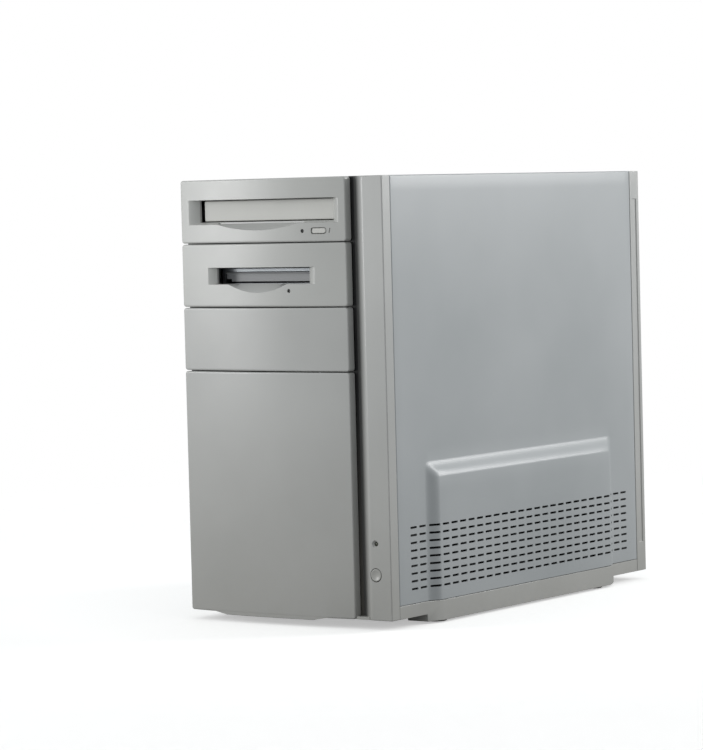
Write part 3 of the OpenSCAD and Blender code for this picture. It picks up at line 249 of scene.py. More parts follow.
def plated_metal(name, dark, light, rough, spangle_mm=8.0, rolling=0.0):
    material, tree, place, surface = blank_material(name)
    crystals = add(tree, "ShaderNodeTexVoronoi", None, {"Vector": place, "Scale": 1 / (spangle_mm * MM)})
    stretched = add(tree, "ShaderNodeMapping", None, {"Vector": place, "Scale": (1.0, 0.04, 1.0)})
    marks = add(tree, "ShaderNodeTexNoise", None, {
        "Vector": stretched.outputs[0], "Scale": 1 / (ROLLING_MM * MM), "Detail": 3.0})
    cell = add(tree, "ShaderNodeSeparateColor", None, {"Color": crystals.outputs["Color"]}).outputs[0]
    blend = add(tree, "ShaderNodeMix", None, {0: rolling, 2: cell, 3: marks.outputs[0]}).outputs[0]
    tone = add(tree, "ShaderNodeMix", COLOURS, {0: blend, 6: linear(dark), 7: linear(light)}).outputs[2]
    roughness = add(tree, "ShaderNodeMapRange", None, (
        blend, 0.0, 1.0, rough - 0.07, rough + 0.08)).outputs[0]
    bump = add(tree, "ShaderNodeBump", None, {
        "Height": marks.outputs[0], "Strength": 0.2, "Distance": 0.01 * MM})
    shader = add(tree, "ShaderNodeBsdfPrincipled", None, {
        "Base Color": tone, "Roughness": roughness, "Metallic": 1.0, "Normal": bump.outputs[0]})
    tree.links.new(shader.outputs[0], surface)
    return material


zinc_steel = plated_metal("Steel_zinc_plated_spangled", "#abafb2", "#b9bdc0", 0.40)
supply_steel = plated_metal("Steel_zinc_plated_satin", "#8f9396", "#a6aaad", 0.42, 5.0, 0.6)
bright_steel = plated_metal("Steel_nickel_plated_bright", "#b9bcbf", "#cfd1d3", 0.22, 3.0, 0.7)
cast_metal = plated_metal("Aluminium_die_cast", "#85888b", "#999c9f", 0.5, 1.6)
fin_metal = plated_metal("Aluminium_extruded_brushed", "#a9adb0", "#c3c6c9", 0.32, 4.0, 0.9)
brass = plated_metal("Brass_turned", "#a98640", "#c6a457", 0.3, 2.0, 0.8)
print("metals:", zinc_steel.name, bright_steel.name)

# %% [markdown]
# ## Circuit boards
# A board is glass-fibre laminate under a green lacquer. Copper tracks show
# through as slightly lighter lines, and their solder pads as bright dots. A
# brick pattern makes the tracks, and cells make the pads. An expansion card
# and its steel bracket are one CAD node, so its finish turns from board to
# bare steel at the bracket's place along the depth.

# %% Finish: lacquered circuit board
NO_BRACKET = 1000.0


def lacquered_board(name, dark, light, pitch_mm, bracket_from=NO_BRACKET):
    material, tree, place, surface = blank_material(name)
    per_pitch = 1 / (pitch_mm * MM)
    turned_place = add(tree, "ShaderNodeMapping", None, {
        "Vector": place, "Rotation": (0.0, math.radians(90), 0.0)})
    tracks = add(tree, "ShaderNodeTexBrick", {"offset": 0.35}, {
        "Vector": turned_place.outputs[0], "Scale": per_pitch, "Mortar Size": 0.06, "Brick Width": 3.1,
        "Row Height": 0.5}).outputs["Fac"]
    pads = add(tree, "ShaderNodeTexVoronoi", {"distance": "CHEBYCHEV"}, {
        "Vector": place, "Scale": per_pitch, "Randomness": 0.7})
    pad = add(tree, "ShaderNodeMapRange", None, (pads.outputs["Distance"], 0.16, 0.12)).outputs[0]
    lacquer = add(tree, "ShaderNodeMix", COLOURS, {0: tracks, 6: linear(dark), 7: linear(light)})
    colour = add(tree, "ShaderNodeMix", COLOURS, {0: pad, 6: lacquer.outputs[2], 7: linear("#b9b39a")})
    bump = add(tree, "ShaderNodeBump", None, {"Height": tracks, "Strength": 0.3, "Distance": 0.05 * MM})
    board = add(tree, "ShaderNodeBsdfPrincipled", None, {
        "Base Color": colour.outputs[2], "Normal": bump.outputs[0],
        "Metallic": add(tree, "ShaderNodeMapRange", None, (pad, 0.0, 1.0, 0.0, 0.8)).outputs[0],
        "Roughness": add(tree, "ShaderNodeMapRange", None, (pad, 0.0, 1.0, 0.3, 0.25)).outputs[0]})
    steel = add(tree, "ShaderNodeBsdfPrincipled", None, {
        "Base Color": linear("#b4b7ba"), "Metallic": 1.0, "Roughness": 0.34})
    depth = add(tree, "ShaderNodeSeparateXYZ", None, {"Vector": place}).outputs["Y"]
    bracket = add(tree, "ShaderNodeMapRange", None, (
        depth, bracket_from * MM, (bracket_from + 0.1) * MM)).outputs[0]
    shader = add(tree, "ShaderNodeMixShader", None, (bracket, board.outputs[0], steel.outputs[0]))
    tree.links.new(shader.outputs[0], surface)
    return material


green_board = lacquered_board("Laminate_green_solder_mask", "#234a30", "#32613f", 3.0)
card_board = lacquered_board("Laminate_green_with_steel_bracket", "#234a30", "#32613f", 3.0, 188.0)
amber_board = lacquered_board("Laminate_brown_phenolic", "#5a4626", "#705a34", 4.0)
print("boards:", green_board.name, amber_board.name)

# %% [markdown]
# ## Lenses and leads
# The lamps of this tower are dark when it is off: smoked acrylic, smooth
# enough for a sharp highlight. Ribbon cable is grey vinyl with a ridge for
# each of its wires, 1.27 mm apart, so a wave pattern at that pitch draws it.
# A Wave node repeats every tau / 20 at a scale of one, hence the 20 in its
# scale.

# %% Finish: smoked lens and ribbon
ACRYLIC_IOR = 1.49


def smoked_lens(name, hex_colour):
    material, tree, place, surface = blank_material(name)
    flecks = add(tree, "ShaderNodeTexNoise", None, {"Vector": place, "Scale": 400.0})
    roughness = add(tree, "ShaderNodeMapRange", None, (flecks.outputs[0], 0.3, 0.7, 0.08, 0.16)).outputs[0]
    shader = add(tree, "ShaderNodeBsdfPrincipled", None, {
        "Base Color": linear(hex_colour), "Roughness": roughness, "IOR": ACRYLIC_IOR})
    tree.links.new(shader.outputs[0], surface)
    return material


def ridged_vinyl(name, dark, light, pitch_mm, axis):
    material, tree, place, surface = blank_material(name)
    wires = add(tree, "ShaderNodeTexWave", {"bands_direction": axis}, {
        "Vector": place, "Scale": math.tau / (20 * pitch_mm * MM), "Distortion": 0.0}).outputs["Fac"]
    scuffs = add(tree, "ShaderNodeTexNoise", None, {"Vector": place, "Scale": 60.0})
    tone = add(tree, "ShaderNodeMix", COLOURS, {0: wires, 6: linear(dark), 7: linear(light)}).outputs[2]
    roughness = add(tree, "ShaderNodeMapRange", None, (scuffs.outputs[0], 0.3, 0.7, 0.4, 0.55)).outputs[0]
    bump = add(tree, "ShaderNodeBump", None, {"Height": wires, "Strength": 0.6, "Distance": 0.3 * MM})
    shader = add(tree, "ShaderNodeBsdfPrincipled", None, {
        "Base Color": tone, "Roughness": roughness, "Normal": bump.outputs[0]})
    tree.links.new(shader.outputs[0], surface)
    return material


lamp_lens = smoked_lens("Acrylic_smoked", "#161612")
power_lens = smoked_lens("Acrylic_smoked_olive", "#55584a")
ribbon_vinyl = ridged_vinyl("Vinyl_grey_ribbon", "#8d9092", "#a9acae", 1.27, "X")
lead_vinyl = ridged_vinyl("Vinyl_yellow_leads", "#8f7a24", "#c9ad3a", 6.0, "Z")
signal_vinyl = ridged_vinyl("Vinyl_blue_leads", "#27405f", "#3a5f8c", 6.0, "Y")
ceramic = moulded_plastic("Ceramic_package_matt", "#5f5a52", "#6d675e", 0.55, 0.6)
print("lenses and leads ready")

# %% [markdown]
# ## A material for every CAD node
# Each CAD node gets the finish of the real part, by name. Nodes that a
# better-shaped piece replaces later get one too, so that nothing is left bare.

# %% Finish of each CAD node
FINISHES = {
    case_abs: "front_bezel rear_surround base_skirt lower_fascia blank_fascia",
    fascia_abs: "cd_fascia floppy_fascia",
    tray_abs: "cd_tray_front cd_eject_button",
    button_abs: "power_button",
    flap_abs: "floppy_flap",
    cover_paint: "right_cover left_cover top_cover",
    foot_rubber: "feet",
    zinc_steel: "base_pan front_frame board_tray top_brace bay_cage hard_drive_cage floppy_bracket "
                "rear_panel",
    supply_steel: "psu_case cd_drive_case floppy_drive_case",
    bright_steel: "psu_fan_grille slot_covers io_shield coin_cell board_screws case_screws",
    cast_metal: "hard_drive cd_mechanism",
    fin_metal: "heatsink",
    brass: "board_standoffs",
    black_abs: "cd_tray power_inlet power_switch_housing power_rocker io_ports speaker",
    fan_abs: "psu_fan_frame psu_fan_rotor cpu_fan_frame cpu_fan_rotor rear_fan_frame rear_fan_rotor",
    green_board: "motherboard memory_modules front_switch_board",
    card_board: "graphics_card network_card",
    amber_board: "psu_board",
    ceramic: "cpu",
    lamp_lens: "drive_leds",
    power_lens: "power_led",
    ribbon_vinyl: "drive_ribbons",
    lead_vinyl: "power_harness",
    signal_vinyl: "front_leads",
}
for finish, names in FINISHES.items():
    for node_name in names.split():
        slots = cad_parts[node_name].data.materials
        slots.clear()
        slots.append(finish)
print("finished nodes:", sum(len(names.split()) for names in FINISHES.values()))

# %% [markdown]
# ## Building shapes
# A few helpers cover most pieces. `new_piece` turns points and faces into an
# object. `loft` joins a stack of equal rings into a closed shape, which suits
# any moulding with a changing outline, and `turned` and `upright` are lofts of
# circles. `carve` cuts shapes out of a piece, `soften` rounds its edges, and
# both keep the result as a plain mesh. `place` says which body a piece rides
# on and which CAD nodes it stands for.

# %% Shape helpers
SMOOTH_BELOW = math.radians(32)


def shade(mesh, angle=SMOOTH_BELOW):
    """Smooth shading, with edges sharper than the angle kept crisp."""
    mesh.shade_smooth()
    work = bmesh.new()
    work.from_mesh(mesh)
    for edge in work.edges:
        edge.smooth = len(edge.link_faces) == 2 and edge.calc_face_angle(math.pi) < angle
    work.to_mesh(mesh)
    work.free()


def link_piece(name, mesh, material):
    """Puts a mesh in the scene as one piece with one material."""
    mesh.materials.clear()
    mesh.materials.append(material)
    piece = bpy.data.objects.new(name, mesh)
    bpy.context.scene.collection.objects.link(piece)
    return piece


def new_piece(name, points, faces, material, closed=True):
    """Points in millimetres and their faces as a piece; a closed one gets outward normals."""
    mesh = bpy.data.meshes.new(name)
    mesh.from_pydata([Vector(p) * MM for p in points], [], faces)
    work = bmesh.new()
    work.from_mesh(mesh)
    bmesh.ops.remove_doubles(work, verts=work.verts, dist=1e-7)
    if closed:
        bmesh.ops.recalc_face_normals(work, faces=work.faces)
    work.to_mesh(mesh)
    work.free()
    return link_piece(name, mesh, material)


def loft(name, rings, material):
    """Joins rings of equal length into a closed shape with flat ends."""
    count, last = len(rings[0]), (len(rings) - 1) * len(rings[0])
    points = [p for ring in rings for p in ring]
    faces = [(r + i, r + (i + 1) % count, r + count + (i + 1) % count, r + count + i)
             for r in range(0, last, count) for i in range(count)]
    faces += [tuple(range(count)), tuple(range(last, last + count))]
    return new_piece(name, points, faces, material)


def circle(radius, sides):
    """Points round a circle, as pairs across and up."""
    turns = [i * math.tau / sides for i in range(sides)]
    return [(radius * math.cos(a), radius * math.sin(a)) for a in turns]


def turned(name, profile, x, z, material, sides=64):
    """A round piece about a line through x and z, from pairs of radius and y."""
    rings = [[(x + across, y, z + up) for across, up in circle(r, sides)] for r, y in profile]
    return loft(name, rings, material)


def upright(name, profile, sides, material):
    """A round or many-sided piece about the z axis, from pairs of radius and height."""
    rings = [[(across, along, z) for across, along in circle(r, sides)] for r, z in profile]
    return loft(name, rings, material)


def settle(piece):
    """Turns the piece with its modifiers into a plain mesh."""
    graph = bpy.context.evaluated_depsgraph_get()
    mesh = bpy.data.meshes.new_from_object(piece.evaluated_get(graph))
    piece.modifiers.clear()
    piece.data = mesh


def carve(piece, cutters, operation="DIFFERENCE"):
    """Cuts each cutter out of the piece and removes the cutters."""
    for cutter in cutters:
        modifier = piece.modifiers.new("carve", "BOOLEAN")
        modifier.operation, modifier.object, modifier.solver = operation, cutter, "MANIFOLD"
        settle(piece)
        bpy.data.objects.remove(cutter)


def weigh_shading(piece):
    """Large faces decide how the small ones next to them are shaded."""
    weighted = piece.modifiers.new("even shading", "WEIGHTED_NORMAL")
    weighted.keep_sharp, weighted.weight = True, 80
    settle(piece)


def soften(piece, width_mm, segments=3, angle=30):
    """Rounds the edges, and weighs the shading by face area so that flat faces stay flat."""
    bevel = piece.modifiers.new("rounded edges", "BEVEL")
    bevel.width, bevel.segments, bevel.limit_method = width_mm * MM, segments, "ANGLE"
    bevel.angle_limit = math.radians(angle)
    settle(piece)
    shade(piece.data)
    weigh_shading(piece)


def copy_of(node, name, material, flat=0.5):
    """A merged copy of a CAD node, with its flat faces joined again."""
    work = bmesh.new()
    work.from_mesh(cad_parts[node].data)
    bmesh.ops.remove_doubles(work, verts=work.verts, dist=2e-6)
    bmesh.ops.dissolve_limit(work, angle_limit=math.radians(flat), verts=work.verts, edges=work.edges)
    mesh = bpy.data.meshes.new(name)
    work.to_mesh(mesh)
    work.free()
    return link_piece(name, mesh, material)


def place(piece, body, slot, *nodes):
    """The piece rides on a body and stands for CAD nodes; the slot is not used."""
    if not piece.data.attributes.get("sharp_edge"):
        shade(piece.data)
        weigh_shading(piece)
    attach(piece, body)
    if nodes:
        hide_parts(*nodes)
    print(piece.name, "on", body, "triangles:", sum(len(f.vertices) - 2 for f in piece.data.polygons))


print("shape helpers ready")

# %% [markdown]
# ## Main sizes
# The main sizes, and the places of most pieces, come from the CAD nodes themselves.

# %% Sizes read from the frame
def millimetres(node):
    """Lowest and highest corner of a CAD node, in millimetres."""
    low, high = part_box(node)
    return low / MM, high / MM


bezel_low, bezel_high = millimetres("front_bezel")
fascia_low, fascia_high = millimetres("blank_fascia")
HALF = bezel_high.x
FRONT, SEAM = bezel_low.y, bezel_high.y
LOW, TOP = bezel_low.z, bezel_high.z
NOSE, FASCIA_BACK = fascia_low.y, fascia_high.y
FASCIA_RIGHT = fascia_high.x
FASCIA_MID = (FASCIA_RIGHT - HALF) / 2
FASCIA_HALF = (FASCIA_RIGHT + HALF) / 2
BULGE = FRONT - NOSE
BULGE_RADIUS = (FASCIA_HALF ** 2 + BULGE ** 2) / (2 * BULGE)
print("front", round(FRONT, 1), "nose", round(NOSE, 1), "fascia right", round(FASCIA_RIGHT, 1))

# %% [markdown]
# ## The four fascias
# A fascia is a shallow tray of ABS whose front is part of a large cylinder.
# Its right side rolls back into the groove, and its corners are rounded. A
# plain extrusion would give hard rims, so each fascia is a loft: rings go up
# the height, and near the top and the bottom each ring is drawn in along a
# quarter circle. The hollow behind is carved out afterwards.

# %% Fascia shape
CORNER = 2.4
RIM = 1.1
ROLL = 1.1
WALL = 2.4
LEFT_EDGE = 1.2


def arc_front(x, inset=0.0):
    """The y of the bulging front at x, drawn in by an inset."""
    radius = BULGE_RADIUS - inset
    return NOSE + BULGE_RADIUS - math.sqrt(radius ** 2 - (x - FASCIA_MID) ** 2)


def drawn_in(distance, radius):
    """How far a quarter-round rim lies inside the full outline at a distance from the edge."""
    if distance >= radius:
        return 0.0
    return radius - math.sqrt(max(0.0, radius ** 2 - (radius - distance) ** 2))


def fascia_ring(z, z0, z1, inset=0.0, back=None):
    """Outline of a fascia at one height, anticlockwise seen from above."""
    near = min(z - z0, z1 - z)
    side = drawn_in(near, CORNER) + inset
    rim = drawn_in(near, RIM)
    left, right = -HALF + side, FASCIA_RIGHT - side
    back = FASCIA_BACK if back is None else back
    edge_y = arc_front(left + LEFT_EDGE, inset) + rim + 1.0
    ring = [(left, back, z), (left, edge_y, z)]
    ring += [(left + LEFT_EDGE - LEFT_EDGE * math.cos(a), edge_y - math.sin(a), z) for a in (0.4, 0.8, 1.2)]
    steps = 56
    start, stop = left + 1.3, right - ROLL
    for i in range(steps + 1):
        x = start + (stop - start) * i / steps
        ring.append((x, arc_front(x, inset) + rim, z))
    y_stop = arc_front(stop, inset) + rim
    depth = FRONT + 1.0 - y_stop
    for i in range(1, 9):
        a = math.pi / 2 * i / 8
        ring.append((stop + ROLL * math.sin(a), y_stop + depth * (1 - math.cos(a)), z))
    ring.append((right, back, z))
    return ring


def fascia_body(name, z0, z1, material):
    near = [0.0, 0.08, 0.2, 0.4, 0.7, 1.1, 1.7, CORNER]
    heights = [z0 + d for d in near] + [z1 - d for d in reversed(near)]
    return loft(name, [fascia_ring(z, z0, z1) for z in heights], material)


def hollow(z0, z1):
    """Cutter for the hollow behind a fascia."""
    outline = fascia_ring((z0 + z1) / 2, z0, z1, WALL, FASCIA_BACK + 1)
    return loft("hollow", [[(x, y, z) for x, y, _ in outline] for z in (z0 + WALL, z1 - WALL)], case_abs)


blank = fascia_body("blank_bay_fascia", fascia_low.z, fascia_high.z, case_abs)
carve(blank, [hollow(fascia_low.z, fascia_high.z)])
place(blank, "tower", "case_plastic", "blank_fascia")

# %% [markdown]
# The lowest fascia covers the whole lower front. A thin lip hangs below the
# middle of it, with a slope at each end.

# %% Lower fascia with its lip
lip_low, lower_high = millimetres("lower_fascia")
lower = fascia_body("lower_front_fascia", LOW, lower_high.z, case_abs)
carve(lower, [hollow(LOW, lower_high.z)])
LIP_HALF, LIP_SLOPE = 44.5, 12.0


def lip():
    """The lip under the lower fascia."""
    rings = []
    steps = 24
    for z, flare in ((LOW + 1.5, LIP_SLOPE + 6), (LOW, LIP_SLOPE), (lip_low.z + 0.3, 1.5), (lip_low.z, 0.6)):
        inset = 0.1 + (0.3 if z == lip_low.z else 0.0)
        xs = [FASCIA_MID - LIP_HALF - flare + 2 * (LIP_HALF + flare) * i / steps for i in range(steps + 1)]
        ring = [(x, arc_front(x) + inset, z) for x in xs]
        ring += [(xs[-1], FRONT + 1.0 - inset, z), (xs[0], FRONT + 1.0 - inset, z)]
        rings.append(ring)
    return loft("lip", rings, case_abs)


carve(lower, [lip()], "UNION")
place(lower, "tower", "case_plastic", "lower_fascia")

# %% [markdown]
# ## Recesses in the two drive fascias
# Each drive slot sits in a shallow recess whose side walls curve down to its
# floor, with a curved finger scoop below it. The recess cutter is a loft
# from its mouth, well ahead of the surface, to its floor. The scoop is a
# leaning piece of a large cylinder, so that its edge fades out towards both
# ends.

# %% Recess and scoop cutters
OUT = NOSE - 2
SWEEP = 0.22


def block(x, y, z, name="block", material=case_abs):
    """Box between pairs of limits, as a cutter or a piece."""
    rings = [[(x[0], y[0], h), (x[1], y[0], h), (x[1], y[1], h), (x[0], y[1], h)] for h in z]
    return loft(name, rings, material)


def wedge(mouth_x, floor_x, mouth_z, floor_z, floor_y, rim_y):
    """Recess cutter: straight ahead of rim_y, with side walls that curve down to its floor."""
    def ring(x, z, y, r):
        corners = ((x[0], z[0], 1, 1), (x[1], z[0], -1, 1), (x[1], z[1], -1, -1), (x[0], z[1], 1, -1))
        points = []
        for k, (cx, cz, sx, sz) in enumerate(corners):
            centre = (cx + sx * r, cz + sz * r)
            start = math.pi + k * math.pi / 2
            for i in range(5):
                a = start + math.pi / 2 * i / 4
                points.append((centre[0] + r * math.cos(a), y, centre[1] + r * math.sin(a)))
        return points
    rings = [ring(mouth_x, mouth_z, OUT, 0.8)]
    steps = 12
    for i in range(steps + 1):
        t = i / steps
        depth = SWEEP * t + (1 - SWEEP) * t * t
        x = [m + (f - m) * t for m, f in zip(mouth_x, floor_x)]
        z = [m + (f - m) * depth for m, f in zip(mouth_z, floor_z)]
        rings.append(ring(x, z, rim_y + (floor_y - rim_y) * depth, 0.8 - 0.4 * t))
    return loft("wedge", rings, case_abs)


def finger_scoop(x, edge_z, half_chord, drop, front_y, deep_y):
    """Curved cutter below a slot, shallow at its ends."""
    rings = []
    steps = 40
    for i in range(steps + 1):
        t = -1 + 2 * i / steps
        fall = drop * (1 - t * t)
        px = x + half_chord * t
        rings.append([(px, front_y - 6, edge_z + 1.5),
                      (px, front_y - 6, edge_z - fall - 6 * fall / drop * 0.35),
                      (px, front_y, edge_z - fall), (px, deep_y, edge_z + 0.3 * fall / drop),
                      (px, deep_y, edge_z + 1.5)])
    return loft("scoop", rings, case_abs)


def drill(x, z, radius, y0, y1, sides=24):
    """Round cutter along y."""
    return turned("drill", [(radius, y0), (radius, y1)], x, z, case_abs, sides)


def pill(x, z, y0, y1, grow=0.0, bow=0.0, name="pill", material=case_abs):
    """Prism in the shape of the eject button: flat left end, round right end."""
    half_w = 7
    h = 2.2 + grow
    outline = [(x - half_w - grow, z - h + 1.0), (x - half_w - grow + 1.0, z - h)]
    for i in range(17):
        a = -math.pi / 2 + math.pi * i / 16
        outline.append((x + half_w + grow - h + h * math.cos(a), z + h * math.sin(a)))
    outline += [(x - half_w - grow + 1.0, z + h), (x - half_w - grow, z + h - 1.0)]
    rings = [[(px, y, pz) for px, pz in outline] for y in (y0, y1)]
    if bow:
        rings.insert(0, [(x + (px - x) * 0.93, y0 - bow, z + (pz - z) * 0.8) for px, pz in outline])
    return loft(name, rings, material)


print("recess cutters ready")

# %% [markdown]
# ## Disc drive fascia
# The disc tray's front fills the recess's opening, with a dark gap at its left
# end. Below it are a small lamp, the eject button and a slanted slit.

# %% Disc drive fascia
cd_low, cd_high = millimetres("cd_fascia")
tray_low, tray_high = millimetres("cd_tray_front")
eject_low, eject_high = millimetres("cd_eject_button")
EJECT_X, EJECT_Z = 40.9, TOP - 43.6
LAMP_R = 1.6
CD_LAMP_X, CD_LAMP_Z = 25.2, EJECT_Z
slit_outline = ((50.3, -45.4), (51.1, -45.4), (52.1, -41.6), (51.3, -41.6))
cd_opening = (tray_low.x - 2.9, tray_high.x + 1.1)
cd_floor_z = (tray_low.z - 0.6, tray_high.z + 0.4)
cd_mouth_z = (TOP - 37.2, TOP - 16.6)
CD_FLOOR, CD_SLOPE = FRONT + 3.5, 9.1
pocket_x = (2 * WALL - HALF, FASCIA_RIGHT - WALL)
cd_fascia = fascia_body("disc_drive_fascia", cd_low.z, cd_high.z, fascia_abs)
carve(cd_fascia, [
    wedge((cd_opening[0] - CD_SLOPE, cd_opening[1] + CD_SLOPE), cd_opening, cd_mouth_z, cd_floor_z,
          CD_FLOOR, FRONT - 1.0),
    block(cd_opening, (CD_FLOOR - 1, FASCIA_BACK + 1), cd_floor_z),
    finger_scoop(-20.5, cd_mouth_z[0] + 0.4, 44, 5.4, FRONT - 4.4, CD_FLOOR - 0.6),
    drill(CD_LAMP_X, CD_LAMP_Z, LAMP_R, OUT, FASCIA_BACK + 1),
    pill(EJECT_X, EJECT_Z, OUT, FASCIA_BACK + 1, 0.45),
    loft("slit", [[(x, y, TOP + z) for x, z in slit_outline] for y in (OUT, FASCIA_BACK + 1)], case_abs),
    block(pocket_x, (CD_FLOOR + WALL, FASCIA_BACK + 1), (cd_low.z + WALL, TOP - WALL))])
soften(cd_fascia, 0.22, 2, 40)
place(cd_fascia, "tower", "case_plastic", "cd_fascia")

# %% [markdown]
# ## Floppy drive fascia
# Its slot is 95 mm wide. The flap behind it hangs from a pin at its top, and
# the scoop below the slot lets two fingers pull a disk out.

# %% Floppy drive fascia
fd_low, fd_high = millimetres("floppy_fascia")
flap_low, flap_high = millimetres("floppy_flap")
FD_MID = (flap_low.x + flap_high.x) / 2
FD_FLOOR = FRONT + 0.5
FD_LAMP_X, FD_LAMP_Z = 10.6, TOP - 92.4
fd_mouth_x = (FD_MID - 56.4, FD_MID + 56.4)
fd_slot_x = (FD_MID - 47.5, FD_MID + 47.5)
fd_slot_z = (TOP - 86.4, TOP - 73.2)
fd_mouth_z = (fd_slot_z[0] - 0.4, fd_slot_z[1] + 0.4)
floppy_fascia = fascia_body("floppy_drive_fascia", fd_low.z, fd_high.z, fascia_abs)
carve(floppy_fascia, [
    wedge(fd_mouth_x, fd_slot_x, fd_mouth_z, fd_slot_z, FD_FLOOR, FRONT - 3.1),
    block(fd_slot_x, (FD_FLOOR - 1, FASCIA_BACK + 1), fd_slot_z),
    finger_scoop(-21.5, fd_slot_z[0] + 0.4, 32, 7.8, FRONT - 4.9, FD_FLOOR + 1.5),
    drill(FD_LAMP_X, FD_LAMP_Z, LAMP_R, OUT, FASCIA_BACK + 1),
    block(pocket_x, (FD_FLOOR + WALL, FASCIA_BACK + 1), (fd_low.z + WALL, fd_high.z - WALL))])
soften(floppy_fascia, 0.22, 2, 40)
place(floppy_fascia, "tower", "case_plastic", "floppy_fascia")

# %% [markdown]
# ## Tray front, eject button and flap
# The tray front is a plain plate with softly rounded edges. The eject button
# is a small D-shaped cap that stands just ahead of the fascia.

# %% Disc tray front
tray_front = block(*zip(tray_low, tray_high), "disc_tray_front", tray_abs)
soften(tray_front, 0.9, 4)
place(tray_front, "disc_tray", "case_plastic", "cd_tray_front")

# %% Eject button
FLANGE_HALF = 8.5
eject = pill(EJECT_X, EJECT_Z, eject_low.y + 0.4, FASCIA_BACK - 1.2, 0.0, 0.4, "disc_eject_button", tray_abs)
flange = block((EJECT_X - FLANGE_HALF, EJECT_X + FLANGE_HALF), (FASCIA_BACK - 1.8, eject_high.y),
               (eject_low.z, eject_high.z))
carve(eject, [flange], "UNION")
soften(eject, 0.2, 2, 40)
place(eject, "eject_button", "case_plastic", "cd_eject_button")

# %% [markdown]
# The flap is a thin strip that hangs from its pin, with a notch in its lower
# edge at each end.

# %% Floppy flap
PIN_R = 0.9
pin_y, pin_z = flap_low.y + PIN_R, flap_high.z - PIN_R
flap = block((flap_low.x + 2.1, flap_high.x - 2.1), (flap_low.y + 0.3, flap_low.y + 1.5), (flap_low.z, pin_z),
             "floppy_slot_flap", flap_abs)
pin = loft("pin", [[(x, pin_y + across, pin_z + up) for up, across in circle(PIN_R, 24)]
                   for x in (flap_low.x, flap_high.x)], flap_abs)
notches = [block((x, x + 5), (flap_low.y - 1, flap_high.y + 1), (flap_low.z - 1, flap_low.z + 2.2))
           for x in (flap_low.x + 2.0, flap_high.x - 7.0)]
carve(flap, [pin], "UNION")
carve(flap, notches)
soften(flap, 0.15, 2, 40)
place(flap, "disk_flap", "grey_plastic", "floppy_flap")

# %% [markdown]
# ## Column and groove
# The column is part of the front bezel. Its left side slopes down into the
# dark groove beside the fascias, in a soft S. It is lofted like a fascia and
# hollowed, and the power button's guide tube is joined on before its hole is
# drilled. The plate behind the fascias is a separate moulding made black as
# painted shade, and the column's own finish darkens towards it, as painted
# shade for the groove. Together they make the groove as dark as it looks.

# %% Column
COLUMN_LEFT = HALF - 24
COVE_START, COVE_END, COVE_DEPTH = COLUMN_LEFT - 9.5, COLUMN_LEFT + 5, 8.5
PLATE = 2.5
COLUMN_RIM = 0.9
BUTTON_HOLE_R, TUBE_R = 5.7, 7.2
button_low, button_high = millimetres("power_button")
led_low, led_high = millimetres("power_led")
BUTTON_X, BUTTON_Z = (button_low.x + button_high.x) / 2, (button_low.z + button_high.z) / 2
LED_Z = (led_low.z + led_high.z) / 2


def column_ring(z):
    """Outline of the column at one height, from the groove round to the side of the case."""
    rim = drawn_in(min(z - LOW, TOP - z), COLUMN_RIM)
    ring = [(COVE_START, SEAM, z), (COVE_START, SEAM - PLATE, z)]
    steps = 24
    for i in range(1, steps + 1):
        t = i / steps
        rise = t * t * (3 - 2 * t)
        ring.append((COVE_START + (COVE_END - COVE_START) * t, SEAM - PLATE - (COVE_DEPTH - rim) * rise, z))
    for i in range(7):
        a = math.pi / 2 * i / 6
        ring.append((HALF - rim - 1.0 + math.sin(a), FRONT + rim + 1.0 - math.cos(a), z))
    ring.append((HALF - rim, SEAM, z))
    return ring


rims = [0.0, 0.05, 0.15, 0.35, 0.6, COLUMN_RIM]
column_heights = [LOW + d for d in rims] + [TOP - d for d in reversed(rims)]
column = loft("bezel_column", [column_ring(z) for z in column_heights], column_abs)
hollow_z = (LOW + WALL, TOP - WALL)
carve(column, [block((COVE_END, HALF - WALL), (FRONT + WALL, SEAM + 1), hollow_z),
               block((COLUMN_LEFT + 1, HALF - WALL), (FRONT + 6, SEAM + 1), hollow_z)])
carve(column, [drill(BUTTON_X, BUTTON_Z, TUBE_R, FRONT + 2.2, FRONT + 8, 48),
               block((FASCIA_RIGHT + 0.5, COLUMN_LEFT + 1), (FRONT + 1, SEAM), (LOW, LOW + WALL))], "UNION")
dimple = turned("dimple", [
    (3.6, FRONT - 0.5), (3.2, FRONT), (2.5, FRONT + 0.9), (1.8, FRONT + 1.5), (1.8, SEAM)],
    BUTTON_X, LED_Z, case_abs, 40)
carve(column, [drill(BUTTON_X, BUTTON_Z, BUTTON_HOLE_R, FRONT - 1, SEAM + 1, 64), dimple])
soften(column, 0.2, 2, 50)
place(column, "tower", "case_plastic", "front_bezel")

# %% Bezel back plate
BAY_PITCH, BAYS = 52.9, 3
# The plate is black as painted shade for the groove.
back_plate = block((-HALF, COVE_START), (SEAM - PLATE, SEAM), (LOW, TOP), "bezel_back_plate", black_abs)
cage_low, cage_high = millimetres("bay_cage")
mouths = [(TOP - BAY_PITCH * (i + 1) + 5, TOP - BAY_PITCH * i - 5) for i in range(BAYS)]
mouths.append((LOW + 20, TOP - BAY_PITCH * BAYS - 20))
carve(back_plate, [block((cage_low.x + 1, cage_high.x - 1), (SEAM - 4, SEAM + 1), mouth) for mouth in mouths])
soften(back_plate, 0.3, 2)
place(back_plate, "tower", "black_plastic", "front_bezel")

# %% [markdown]
# ## Power button and lamp
# Both are turned shapes: rings of points with changing radius, stacked along
# the front-to-back axis. The button's face is slightly dished for a fingertip.

